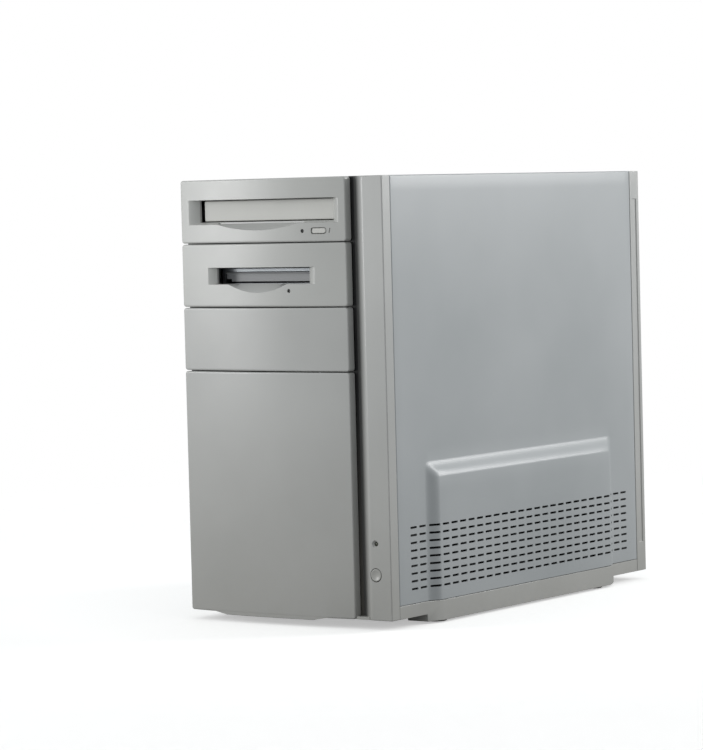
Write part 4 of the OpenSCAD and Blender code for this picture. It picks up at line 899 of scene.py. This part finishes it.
# %% Power button and lamp
CAP_R, COLLAR_R, COLLAR_Y = 5.1, 6.8, FRONT + 8.4
face = FRONT - 0.2
dish = [(0.2, 0.62), (1.6, 0.55), (2.8, 0.36), (3.7, 0.14), (4.2, 0.02), (4.6, 0), (4.85, 0.07), (5.03, 0.24),
        (CAP_R, 0.5)]
cap_profile = [(r, face + y) for r, y in dish] + [(CAP_R, COLLAR_Y), (COLLAR_R, COLLAR_Y),
                                                  (COLLAR_R, button_high.y)]
button = turned("power_button_cap", cap_profile, BUTTON_X, BUTTON_Z, button_abs)
place(button, "power_button", "case_plastic", "power_button")
dome = [(0.1, 0), (0.6, 0.08), (1.0, 0.3), (1.3, 0.7), (1.45, 1.2)]
lamp_profile = [(r, led_low.y + y) for r, y in dome] + [(1.45, led_high.y)]
lamp = turned("power_lamp", lamp_profile, BUTTON_X, LED_Z, power_lens, 32)
place(lamp, "tower", "led_lens", "power_led")

# %% [markdown]
# ## Side covers
# A cover is one sheet of steel, 1 mm thick, folded in along its front, top
# and rear edges. Its lower part is pressed outwards by 6 mm, with soft
# slopes. A height rule gives the outer face, and Solidify gives the sheet
# its thickness. That is closer to real pressing than stacking blocks.

# %% Pressed sheet
cover_low, cover_high = millimetres("right_cover")
PRESS_START, PRESS_END = FRONT + 51, FRONT + 51 + 296
PRESS_TOP, PRESS_OUT, SLOPE = LOW + 126, cover_high.x - HALF, 14.0
FOLD, SHEET = 1.2, 1.0


def pressed_out(y, z):
    """How far the cover's face stands out at a point."""
    along = min(y - PRESS_START, PRESS_END - y) / SLOPE
    up = (PRESS_TOP - z) / SLOPE
    soft = 0.4
    mix = min(1.0, max(0.0, 0.5 + 0.5 * (up - along) / soft))
    t = up * (1 - mix) + along * mix - soft * mix * (1 - mix)
    t = min(1.0, max(0.0, t))
    return PRESS_OUT * t * t * (3 - 2 * t)


def stations(start, stop, dense, step):
    """Positions from start to stop, close together at the edges and in the dense spans."""
    edge = [0.0, 0.1, 0.3, 0.6, 0.9, FOLD]
    found = [start + d for d in edge] + [stop - d for d in edge]
    for low, high, fine in dense:
        found += [low + (high - low) * i / fine for i in range(fine + 1)]
    found = sorted(found)
    filled = [found[0]]
    for value in found[1:]:
        gap = value - filled[-1]
        if gap < 0.05:
            continue
        parts = max(1, math.ceil(gap / step))
        filled += [filled[-1] + gap * i / parts for i in range(1, parts + 1)]
    return filled


def cover_sheet(name, side):
    """One cover; side is 1 on the right and -1 on the left."""
    y0, y1, z0, z1 = cover_low.y, cover_high.y, cover_low.z, cover_high.z
    ys = stations(y0, y1, [(PRESS_START, PRESS_START + SLOPE, 12), (PRESS_END - SLOPE, PRESS_END, 12)], 12)
    zs = stations(z0, z1, [(PRESS_TOP - SLOPE, PRESS_TOP, 12)], 12)
    fold_in = HALF - cover_low.x
    points, index = [], {}
    for i in range(-1, len(ys) + 1):
        for j in range(len(zs) + 1):
            y, z = ys[min(max(i, 0), len(ys) - 1)], zs[min(j, len(zs) - 1)]
            inner = i in (-1, len(ys)) or j == len(zs)
            near = min(y - y0, y1 - y, z1 - z)
            x = -fold_in if inner else pressed_out(y, z) - drawn_in(near, FOLD)
            index[i, j] = len(points)
            points.append((side * (HALF + x), y, z))
    faces = []
    for i in range(-1, len(ys)):
        for j in range(len(zs)):
            if i in (-1, len(ys) - 1) and j == len(zs) - 1:
                continue
            quad = [index[i, j], index[i + 1, j], index[i + 1, j + 1], index[i, j + 1]]
            faces.append(quad if side > 0 else quad[::-1])
    cover = new_piece(name, points, faces, cover_paint, closed=False)
    thick = cover.modifiers.new("sheet thickness", "SOLIDIFY")
    thick.thickness, thick.offset, thick.use_even_offset = SHEET * MM, -1.0, True
    settle(cover)
    return cover


covers = {"right": cover_sheet("right_side_cover", 1), "left": cover_sheet("left_side_cover", -1)}
for side_name, cover in covers.items():
    print(side_name, "cover faces:", len(cover.data.polygons))

# %% [markdown]
# ## Vent slots
# The slots are punched in the flat sheet in one stroke, so they form an even
# grid. A Geometry Nodes tree copies that: it makes one round-ended
# punch, puts an instance of it at every point of a grid, and takes them all
# out of the cover with one Boolean.

# %% Geometry Nodes helpers
def geometry_tree(name, inputs):
    """A new tree with named inputs; returns the tree and its input and output nodes."""
    tree = bpy.data.node_groups.new(name, "GeometryNodeTree")
    tree.interface.new_socket("Geometry", in_out="INPUT", socket_type="NodeSocketGeometry")
    tree.interface.new_socket("Geometry", in_out="OUTPUT", socket_type="NodeSocketGeometry")
    for label, kind in inputs.items():
        tree.interface.new_socket(label, in_out="INPUT", socket_type="NodeSocket" + kind)
    return tree, add(tree, "NodeGroupInput").outputs, add(tree, "NodeGroupOutput").inputs


def run_tree(piece, tree, values):
    """Runs the tree on the piece with its inputs set, and keeps the result as a plain mesh."""
    modifier = piece.modifiers.new(tree.name, "NODES")
    modifier.node_group = tree
    for item in tree.interface.items_tree:
        if item.in_out == "INPUT" and item.name in values:
            modifier[item.identifier] = values[item.name]
    settle(piece)


print("geometry helpers ready")

# %% Vent punch tree
vents, given, result = geometry_tree("punched vents", {
    "Columns": "Int", "Rows": "Int", "Length of grid": "Float", "Height of grid": "Float",
    "Slot length": "Float", "Slot height": "Float", "Centre": "Vector", "Stroke": "Float",
    "Material": "Material"})
grid = add(vents, "GeometryNodeMeshGrid", None, {
    "Size X": given["Height of grid"], "Size Y": given["Length of grid"],
    "Vertices X": given["Rows"], "Vertices Y": given["Columns"]})
quarter_turn = (0.0, math.pi / 2, 0.0)
standing = add(vents, "GeometryNodeTransform", None, {
    "Geometry": grid.outputs[0], "Translation": given["Centre"], "Rotation": quarter_turn})
outline = add(vents, "GeometryNodeCurvePrimitiveQuadrilateral", None, {
    "Width": given["Slot height"], "Height": given["Slot length"]})
radius = add(vents, "ShaderNodeMath", {"operation": "MULTIPLY"}, {0: given["Slot height"], 1: 0.45})
rounded = add(vents, "GeometryNodeFilletCurve", {"mode": "POLY"}, {
    "Curve": outline.outputs[0], "Count": 3, "Radius": radius.outputs[0]})
flat = add(vents, "GeometryNodeFillCurve", {"mode": "NGONS"}, {"Curve": rounded.outputs[0]})
stroke = add(vents, "ShaderNodeCombineXYZ", None, {"Z": given["Stroke"]})
raised = add(vents, "GeometryNodeExtrudeMesh", {"mode": "FACES"}, {
    "Mesh": flat.outputs[0], "Offset": stroke.outputs[0], "Offset Scale": 1.0, "Individual": False})
under = add(vents, "GeometryNodeFlipFaces", None, {"Mesh": flat.outputs[0]})
closed = add(vents, "GeometryNodeJoinGeometry")
vents.links.new(raised.outputs[0], closed.inputs[0])
vents.links.new(under.outputs[0], closed.inputs[0])
punch = add(vents, "GeometryNodeMergeByDistance", None, {"Geometry": closed.outputs[0], "Distance": 1e-6})
punches = add(vents, "GeometryNodeInstanceOnPoints", None, {
    "Points": standing.outputs[0], "Instance": punch.outputs[0], "Rotation": quarter_turn})
real_punches = add(vents, "GeometryNodeRealizeInstances", None, {"Geometry": punches.outputs[0]})
punched = add(vents, "GeometryNodeMeshBoolean", {"operation": "DIFFERENCE", "solver": "MANIFOLD"}, {
    "Mesh 1": given["Geometry"], "Mesh 2": real_punches.outputs[0]})
painted = add(vents, "GeometryNodeSetMaterial", None, {
    "Geometry": punched.outputs[0], "Material": given["Material"]})
vents.links.new(painted.outputs[0], result["Geometry"])
print("vent tree nodes:", len(vents.nodes))

# %% Punch the covers
COLUMNS, ROWS, PITCH_Y, PITCH_Z = 27, 9, 12.8, 6.27
SLOT_LONG, SLOT_HIGH, FIRST_ROW = 9.6, 1.8, 23
grid_middle = ((cover_low.y + cover_high.y) / 2, LOW + FIRST_ROW + (ROWS - 1) / 2 * PITCH_Z)
for side_name, side in (("right", 1), ("left", -1)):
    cover = covers[side_name]
    start_x = HALF - 4 if side > 0 else -HALF - 12
    run_tree(cover, vents, {
        "Columns": COLUMNS, "Rows": ROWS, "Length of grid": (COLUMNS - 1) * PITCH_Y * MM,
        "Height of grid": (ROWS - 1) * PITCH_Z * MM, "Slot length": SLOT_LONG * MM,
        "Slot height": SLOT_HIGH * MM, "Centre": [v * MM for v in (start_x, *grid_middle)], "Stroke": 16 * MM,
        "Material": cover_paint})
    shade(cover.data)
    place(cover, side_name + "_side_cover", "cover_paint", side_name + "_cover")

# %% [markdown]
# The slots look black on the real case, where the inside lies in shade. Without
# anything behind them, daylight would show straight through both covers here,
# because this tower has only part of the wiring and boxes of a real one. So a
# thin sheet of black felt sits just behind each group of slots, as painted
# shade for the dark inside of the case. It is an addition of this model, and no
# CAD node stands behind it.

# %% Black felts as painted shade
felt_z = (grid_middle[1] - ROWS * PITCH_Z / 2 - 2, grid_middle[1] + ROWS * PITCH_Z / 2 + 2)
felt_y = (grid_middle[0] - COLUMNS * PITCH_Y / 2 - 1, grid_middle[0] + COLUMNS * PITCH_Y / 2 + 1)
for side_name, side in (("right", 1), ("left", -1)):
    felt_x = sorted((side * (HALF - 2.2), side * (HALF - 1.2)))
    # The felt is painted shade: it darkens the slots as the inside of the case would.
    felt = block(felt_x, felt_y, felt_z, side_name + "_dust_felt", shade_felt)
    place(felt, side_name + "_side_cover", "black_plastic")

# %% [markdown]
# ## Top, rear surround, skirt, fan frames and mains inlet
# These follow their CAD shapes closely, so each is a merged copy of its CAD
# node with its edges rounded by a Bevel modifier.

# %% Softened shells
SHELLS = [
    ("top_cover", "top_panel", cover_paint, "cover_paint", 0.3),
    ("rear_surround", "rear_surround_frame", case_abs, "case_plastic", 0.7),
    ("base_skirt", "base_skirt_strip", case_abs, "case_plastic", 0.5),
    ("psu_fan_frame", "supply_fan_frame", fan_abs, "black_plastic", 0.4),
    ("rear_fan_frame", "chassis_fan_frame", fan_abs, "black_plastic", 0.4),
    ("cpu_fan_frame", "processor_fan_frame", fan_abs, "black_plastic", 0.3),
    ("power_inlet", "mains_inlet_body", black_abs, "black_plastic", 0.4),
    ("power_switch_housing", "mains_switch_housing", black_abs, "black_plastic", 0.3),
]
for node, name, finish, slot_name, width in SHELLS:
    shell = copy_of(node, name, finish)
    soften(shell, width, 2)
    place(shell, "tower", slot_name, node)

# %% [markdown]
# ## Screws and feet
# Fasteners come from one box, so one model serves for all of them. The tree
# below puts a copy of a part at every point and turns it to the heading that
# the point carries. A case screw has a hexagonal washer head with a cross
# slot for a screwdriver.

# %% Copies tree
copies, given, result = geometry_tree("copies at points", {"Part": "Object", "Material": "Material"})
part = add(copies, "GeometryNodeObjectInfo", None, {"Object": given["Part"], "As Instance": True})
heading = add(copies, "GeometryNodeInputNamedAttribute", {"data_type": "FLOAT_VECTOR"}, {"Name": "heading"})
turn = add(copies, "FunctionNodeAlignRotationToVector", {"axis": "Z"}, {"Vector": heading.outputs[0]})
placed = add(copies, "GeometryNodeInstanceOnPoints", None, {
    "Points": given["Geometry"], "Instance": part.outputs["Geometry"], "Rotation": turn.outputs[0]})
real_parts = add(copies, "GeometryNodeRealizeInstances", None, {"Geometry": placed.outputs[0]})
finished = add(copies, "GeometryNodeSetMaterial", None, {
    "Geometry": real_parts.outputs[0], "Material": given["Material"]})
copies.links.new(finished.outputs[0], result["Geometry"])


def headed_points(name, points, material):
    """Loose points, each with the direction that its copy faces."""
    piece = new_piece(name, [p for p, _ in points], [], material)
    towards = piece.data.attributes.new("heading", "FLOAT_VECTOR", "POINT")
    for item, (_, direction) in zip(towards.data, points):
        item.vector = direction
    return piece


# %% Case screws
SCREW_R, SCREW_LENGTH, HEAD_R, HEAD_HIGH = 1.6, 5.0, 3.6, 2.4
REAR_SHEET, CAGE_SIDES = 194.5, (-90.0, 59.0)
PANEL_SCREW_X, PANEL_SCREW_Z = (-64, 74), (282, 356)
SLOT_SCREW_X, FIRST_SLOT_Z, SLOT_PITCH, SLOTS = -31, 34, 20.32, 4
CAGE_SCREW_Y, CAGE_SCREW_Z = (-140.5, -80.5), (331, 352)
screw = upright("screw", [
    (SCREW_R - 0.4, -SCREW_LENGTH), (SCREW_R, 0.5 - SCREW_LENGTH), (SCREW_R, 0.0), (HEAD_R, 0.0),
    (HEAD_R, 0.6), (HEAD_R - 0.2, 0.8), (HEAD_R - 1.0, 0.8)], 36, bright_steel)
hexagon = upright("hexagon", [
    (HEAD_R - 0.6, 0.4), (HEAD_R - 0.6, HEAD_HIGH - 0.4), (HEAD_R - 1.0, HEAD_HIGH)], 6, bright_steel)
carve(screw, [hexagon], "UNION")
carve(screw, [block((-2.0, 2.0), (-0.35, 0.35), (HEAD_HIGH - 1.2, HEAD_HIGH + 1)),
              block((-0.35, 0.35), (-2.0, 2.0), (HEAD_HIGH - 1.2, HEAD_HIGH + 1))])
shade(screw.data)
rearward, leftward, rightward = (0, 1, 0), (-1, 0, 0), (1, 0, 0)
screw_points = [((x, REAR_SHEET, z), rearward) for x in PANEL_SCREW_X for z in PANEL_SCREW_Z]
screw_points += [((SLOT_SCREW_X, REAR_SHEET, FIRST_SLOT_Z + SLOT_PITCH * i), rearward) for i in range(SLOTS)]
for y in CAGE_SCREW_Y:
    for z in CAGE_SCREW_Z:
        screw_points += [((CAGE_SIDES[0], y, z), leftward), ((CAGE_SIDES[1], y, z), rightward)]
screws = headed_points("case_screw_set", screw_points, bright_steel)
run_tree(screws, copies, {"Part": screw, "Material": bright_steel})
bpy.data.objects.remove(screw)
place(screws, "tower", "plated_steel", "case_screws")

# %% Rubber feet
feet_low, feet_high = millimetres("feet")
FOOT_R = 9.0
foot = upright("foot", [
    (FOOT_R - 2.6, feet_high.z), (FOOT_R, feet_high.z), (FOOT_R, 0.6), (FOOT_R - 0.6, 0.0),
    (FOOT_R - 4.0, 0.0), (FOOT_R - 5.0, 0.5), (0.3, 0.5)], 48, foot_rubber)
foot_points = [((x, y, 0), (0, 0, 1)) for x in (feet_low.x + FOOT_R, feet_high.x - FOOT_R)
               for y in (feet_low.y + FOOT_R, feet_high.y - FOOT_R)]
feet = headed_points("rubber_foot_set", foot_points, foot_rubber)
run_tree(feet, copies, {"Part": foot, "Material": foot_rubber})
bpy.data.objects.remove(foot)
place(feet, "tower", "foot_rubber", "feet")

# %% [markdown]
# ## Fan rotors
# A rotor is moulded in one shot: a cup over the motor with seven blades. A
# real blade is curved like a spoon and twists, steep at the hub and flatter
# at the tip, because the tip moves faster. One blade is lofted from curved
# sections. The tree spins copies of it around the hub.

# %% Rotor tree
rotor_tree, given, result = geometry_tree("spun blades", {
    "Blades": "Int", "Hub radius": "Float", "Hub height": "Float", "Hub middle": "Float",
    "Turn": "Rotation", "Centre": "Vector", "Material": "Material"})
spots = add(rotor_tree, "GeometryNodePoints", None, {"Count": given["Blades"]})
number = add(rotor_tree, "GeometryNodeInputIndex")
share = add(rotor_tree, "ShaderNodeMath", {"operation": "DIVIDE"}, {0: number.outputs[0], 1: given["Blades"]})
angle = add(rotor_tree, "ShaderNodeMath", {"operation": "MULTIPLY"}, {0: share.outputs[0], 1: math.tau})
about_z = add(rotor_tree, "ShaderNodeCombineXYZ", None, {"Z": angle.outputs[0]})
blades = add(rotor_tree, "GeometryNodeInstanceOnPoints", None, {
    "Points": spots.outputs[0], "Instance": given["Geometry"], "Rotation": about_z.outputs[0]})
cup = add(rotor_tree, "GeometryNodeMeshCylinder", {"fill_type": "NGON"}, {
    "Vertices": 64, "Radius": given["Hub radius"], "Depth": given["Hub height"]})
lift = add(rotor_tree, "ShaderNodeCombineXYZ", None, {"Z": given["Hub middle"]})
hub = add(rotor_tree, "GeometryNodeTransform", None, {
    "Geometry": cup.outputs["Mesh"], "Translation": lift.outputs[0]})
whole = add(rotor_tree, "GeometryNodeJoinGeometry")
rotor_tree.links.new(blades.outputs[0], whole.inputs[0])
rotor_tree.links.new(hub.outputs[0], whole.inputs[0])
real_rotor = add(rotor_tree, "GeometryNodeRealizeInstances", None, {"Geometry": whole.outputs[0]})
turned_rotor = add(rotor_tree, "GeometryNodeTransform", None, {
    "Geometry": real_rotor.outputs[0], "Translation": given["Centre"], "Rotation": given["Turn"]})
black_rotor = add(rotor_tree, "GeometryNodeSetMaterial", None, {
    "Geometry": turned_rotor.outputs[0], "Material": given["Material"]})
rotor_tree.links.new(black_rotor.outputs[0], result["Geometry"])
print("rotor tree nodes:", len(rotor_tree.nodes))


# %% Blade and rotors
def fan_blade(hub, tip, low, high):
    """A twisted, curved blade that reaches from the hub to the tip."""
    rings = []
    sections, along = 9, 12
    for i in range(sections):
        t = i / (sections - 1)
        radius = hub - 1.0 + (tip - hub + 1.0) * t
        rise = (high - low - 1.6) / 2
        sweep = rise / math.tan(math.radians(44 - 14 * t))
        lead = sweep * 0.25 * t
        upper, lower = [], []
        for k in range(along + 1):
            u = -1 + 2 * k / along
            arc = (u * sweep + lead) / radius
            z = (low + high) / 2 + rise * u + 0.9 * (1 - u * u) * t
            thick = 0.55 + 0.15 * (1 - u * u)
            place_on = (radius * math.cos(arc), radius * math.sin(arc))
            upper.append((*place_on, min(z + thick, high)))
            lower.append((*place_on, max(z - thick, low)))
        rings.append(lower + upper[::-1])
    return loft("blade", rings, fan_abs)


ROTORS = [
    ("psu_fan_rotor", "supply_fan", 80, 25, Vector((-21, 192.2, 319)), (90, 0, 0)),
    ("rear_fan_rotor", "chassis_fan", 80, 25, Vector((-45, 193.5, 220)), (90, 0, 0)),
    ("cpu_fan_rotor", "processor_fan", 60, 15, Vector((39.4, 60, 203)), (0, -90, 0)),
]
for node, fan, across, depth, base, angles in ROTORS:
    hub_radius, tip_radius, low, high = 0.21 * across, across / 2 - 3, 2.8, depth - 1.2
    rotor = fan_blade(hub_radius, tip_radius, low, high)
    rotor.name = fan + "_impeller"
    run_tree(rotor, rotor_tree, {
        "Blades": 7, "Hub radius": hub_radius * MM, "Hub height": (high - low) * MM,
        "Hub middle": (high + low) / 2 * MM, "Turn": [math.radians(a) for a in angles],
        "Centre": list(base * MM), "Material": fan_abs})
    place(rotor, fan + "_rotor", "black_plastic", node)

# %% [markdown]
# ## Finger guard
# The guard over the power supply's fan is four rings of steel wire welded to
# two crossed wires. The tree draws the rings and the cross as curves and gives
# them the round section of the wire.

# %% Wire guard tree
guard_tree, given, result = geometry_tree("wire guard", {
    "Rings": "Int", "First ring": "Float", "Ring step": "Float", "Cross length": "Float",
    "Wire radius": "Float", "Turn": "Vector", "Centre": "Vector", "Material": "Material"})
ring_spots = add(guard_tree, "GeometryNodePoints", None, {"Count": given["Rings"]})
number = add(guard_tree, "GeometryNodeInputIndex")
ring_radius = add(guard_tree, "ShaderNodeMath", {"operation": "MULTIPLY_ADD"}, {
    0: number.outputs[0], 1: given["Ring step"], 2: given["First ring"]})
unit_ring = add(guard_tree, "GeometryNodeCurvePrimitiveCircle", None, {"Resolution": 72, "Radius": 1.0})
ring_size = add(guard_tree, "ShaderNodeCombineXYZ", None, {
    "X": ring_radius.outputs[0], "Y": ring_radius.outputs[0], "Z": 1.0})
circles = add(guard_tree, "GeometryNodeInstanceOnPoints", None, {
    "Points": ring_spots.outputs[0], "Instance": unit_ring.outputs[0], "Scale": ring_size.outputs[0]})
half_cross = add(guard_tree, "ShaderNodeMath", {"operation": "MULTIPLY"}, {0: given["Cross length"], 1: 0.5})
cross_end = add(guard_tree, "ShaderNodeCombineXYZ", None, {"X": half_cross.outputs[0]})
cross_start = add(guard_tree, "ShaderNodeVectorMath", {"operation": "SCALE"}, {
    0: cross_end.outputs[0], "Scale": -1.0})
bar = add(guard_tree, "GeometryNodeCurvePrimitiveLine", None, {
    "Start": cross_start.outputs[0], "End": cross_end.outputs[0]})
wires = add(guard_tree, "GeometryNodeJoinGeometry")
guard_tree.links.new(circles.outputs[0], wires.inputs[0])
for degrees in (45, 135):
    leaning = add(guard_tree, "GeometryNodeTransform", None, {
        "Geometry": bar.outputs[0], "Rotation": (0, 0, math.radians(degrees))})
    guard_tree.links.new(leaning.outputs[0], wires.inputs[0])
real_wires = add(guard_tree, "GeometryNodeRealizeInstances", None, {"Geometry": wires.outputs[0]})
section = add(guard_tree, "GeometryNodeCurvePrimitiveCircle", None, {
    "Resolution": 12, "Radius": given["Wire radius"]})
drawn = add(guard_tree, "GeometryNodeCurveToMesh", None, {
    "Curve": real_wires.outputs[0], "Profile Curve": section.outputs[0], "Fill Caps": True})
standing_guard = add(guard_tree, "GeometryNodeTransform", None, {
    "Geometry": drawn.outputs[0], "Translation": given["Centre"], "Rotation": given["Turn"]})
bright_guard = add(guard_tree, "GeometryNodeSetMaterial", None, {
    "Geometry": standing_guard.outputs[0], "Material": given["Material"]})
guard_tree.links.new(bright_guard.outputs[0], result["Geometry"])

# %% Supply fan guard
guard_low, guard_high = millimetres("psu_fan_grille")
guard_middle = (guard_low + guard_high) / 2
guard = headed_points("supply_fan_guard", [], bright_steel)
run_tree(guard, guard_tree, {
    "Rings": 4, "First ring": 8 * MM, "Ring step": 7.5 * MM, "Cross length": 86 * MM,
    "Wire radius": 0.68 * MM, "Turn": [math.radians(90), 0, 0], "Centre": list(guard_middle * MM),
    "Material": bright_steel})
place(guard, "tower", "plated_steel", "psu_fan_grille")

# %% [markdown]
# ## The room
# A large pale floor carries the tower, and its rim fades out, so that no
# horizon line crosses behind the tower. It looks nearly white, yet it is
# darker for the light that bounces off it, so that it doesn't flatten the
# lower half of the tower. The room is plain: a soft white surround, a broad
# light and a narrower one to the left of the front, and a strong one behind
# the right side. Broad lights give satin plastic its slow gradients.

# %% Floor
FLOOR_R, FLOOR_THICK = 3000, 4


def add_floor():
    """A round floor that fades out between two distances, in metres, from its middle."""
    fade_from, fade_to = 0.35, 1.3
    material, tree, place, surface = blank_material("Paper_white_floor")
    far = add(tree, "ShaderNodeVectorMath", {"operation": "LENGTH"}, {0: place}).outputs["Value"]
    seen = add(tree, "ShaderNodeLightPath").outputs["Is Camera Ray"]
    tone = add(tree, "ShaderNodeMix", COLOURS, {0: seen, 6: linear("#8c8c8b"), 7: linear("#f6f6f4")})
    solid = add(tree, "ShaderNodeBsdfDiffuse", None, {"Color": tone.outputs[2]})
    lift = add(tree, "ShaderNodeMapRange", None, (seen, 0.0, 1.0, 0.0, 0.45)).outputs[0]
    glow = add(tree, "ShaderNodeEmission", None, {"Color": linear("#ffffff"), "Strength": lift})
    pale = add(tree, "ShaderNodeAddShader", None, (solid.outputs[0], glow.outputs[0]))
    clear = add(tree, "ShaderNodeBsdfTransparent")
    faded = add(tree, "ShaderNodeMapRange", None, (far, fade_from, fade_to)).outputs[0]
    fade = add(tree, "ShaderNodeMixShader", None, (faded, pale.outputs[0], clear.outputs[0]))
    tree.links.new(fade.outputs[0], surface)
    floor = upright("floor", [(FLOOR_R, -FLOOR_THICK), (FLOOR_R, 0)], 64, material)
    return floor


print("floor faces:", len(add_floor().data.polygons))

# %% Lights and surround
def add_area(name, where, target, size, power, colour):
    light = bpy.data.lights.new(name, "AREA")
    light.shape, light.size, light.size_y = "RECTANGLE", size[0], size[1]
    light.energy, light.color = power, linear(colour)[:3]
    lamp_object = bpy.data.objects.new(name, light)
    lamp_object.location = where
    lamp_object.rotation_mode = "QUATERNION"
    lamp_object.rotation_quaternion = (Vector(target) - Vector(where)).to_track_quat("-Z", "Y")
    bpy.context.scene.collection.objects.link(lamp_object)


def add_surround(seen, given_off):
    """A plain white background that lights the tower more softly than it looks."""
    world = bpy.data.worlds.new("studio")
    world.use_nodes = True
    tree = world.node_tree
    tree.nodes.clear()
    camera_ray = add(tree, "ShaderNodeLightPath").outputs["Is Camera Ray"]
    soft = add(tree, "ShaderNodeBackground", None, {"Color": linear("#f2f5f8"), "Strength": given_off})
    white = add(tree, "ShaderNodeBackground", None, {"Color": linear("#ffffff"), "Strength": seen})
    mixed = add(tree, "ShaderNodeMixShader", None, (camera_ray, soft.outputs[0], white.outputs[0]))
    add(tree, "ShaderNodeOutputWorld", None, {0: mixed.outputs[0]})
    bpy.context.scene.world = world


add_area("light left of front", (-1.7, -1.3, 0.7), (0, -0.1, 0.25), (1.0, 1.0), 9, "#ffffff")
add_area("strip light at front", (-1.39, -1.69, 0.55), (-0.05, -0.2, 0.2), (0.45, 0.85), 8, "#ffffff")
add_area("light behind right", (1.7, 1.8, 1.0), (0, 0, 0.2), (1.2, 1.2), 32, "#ffffff")
add_surround(1.0, 0.55)
bpy.context.scene.view_settings.view_transform = "Standard"
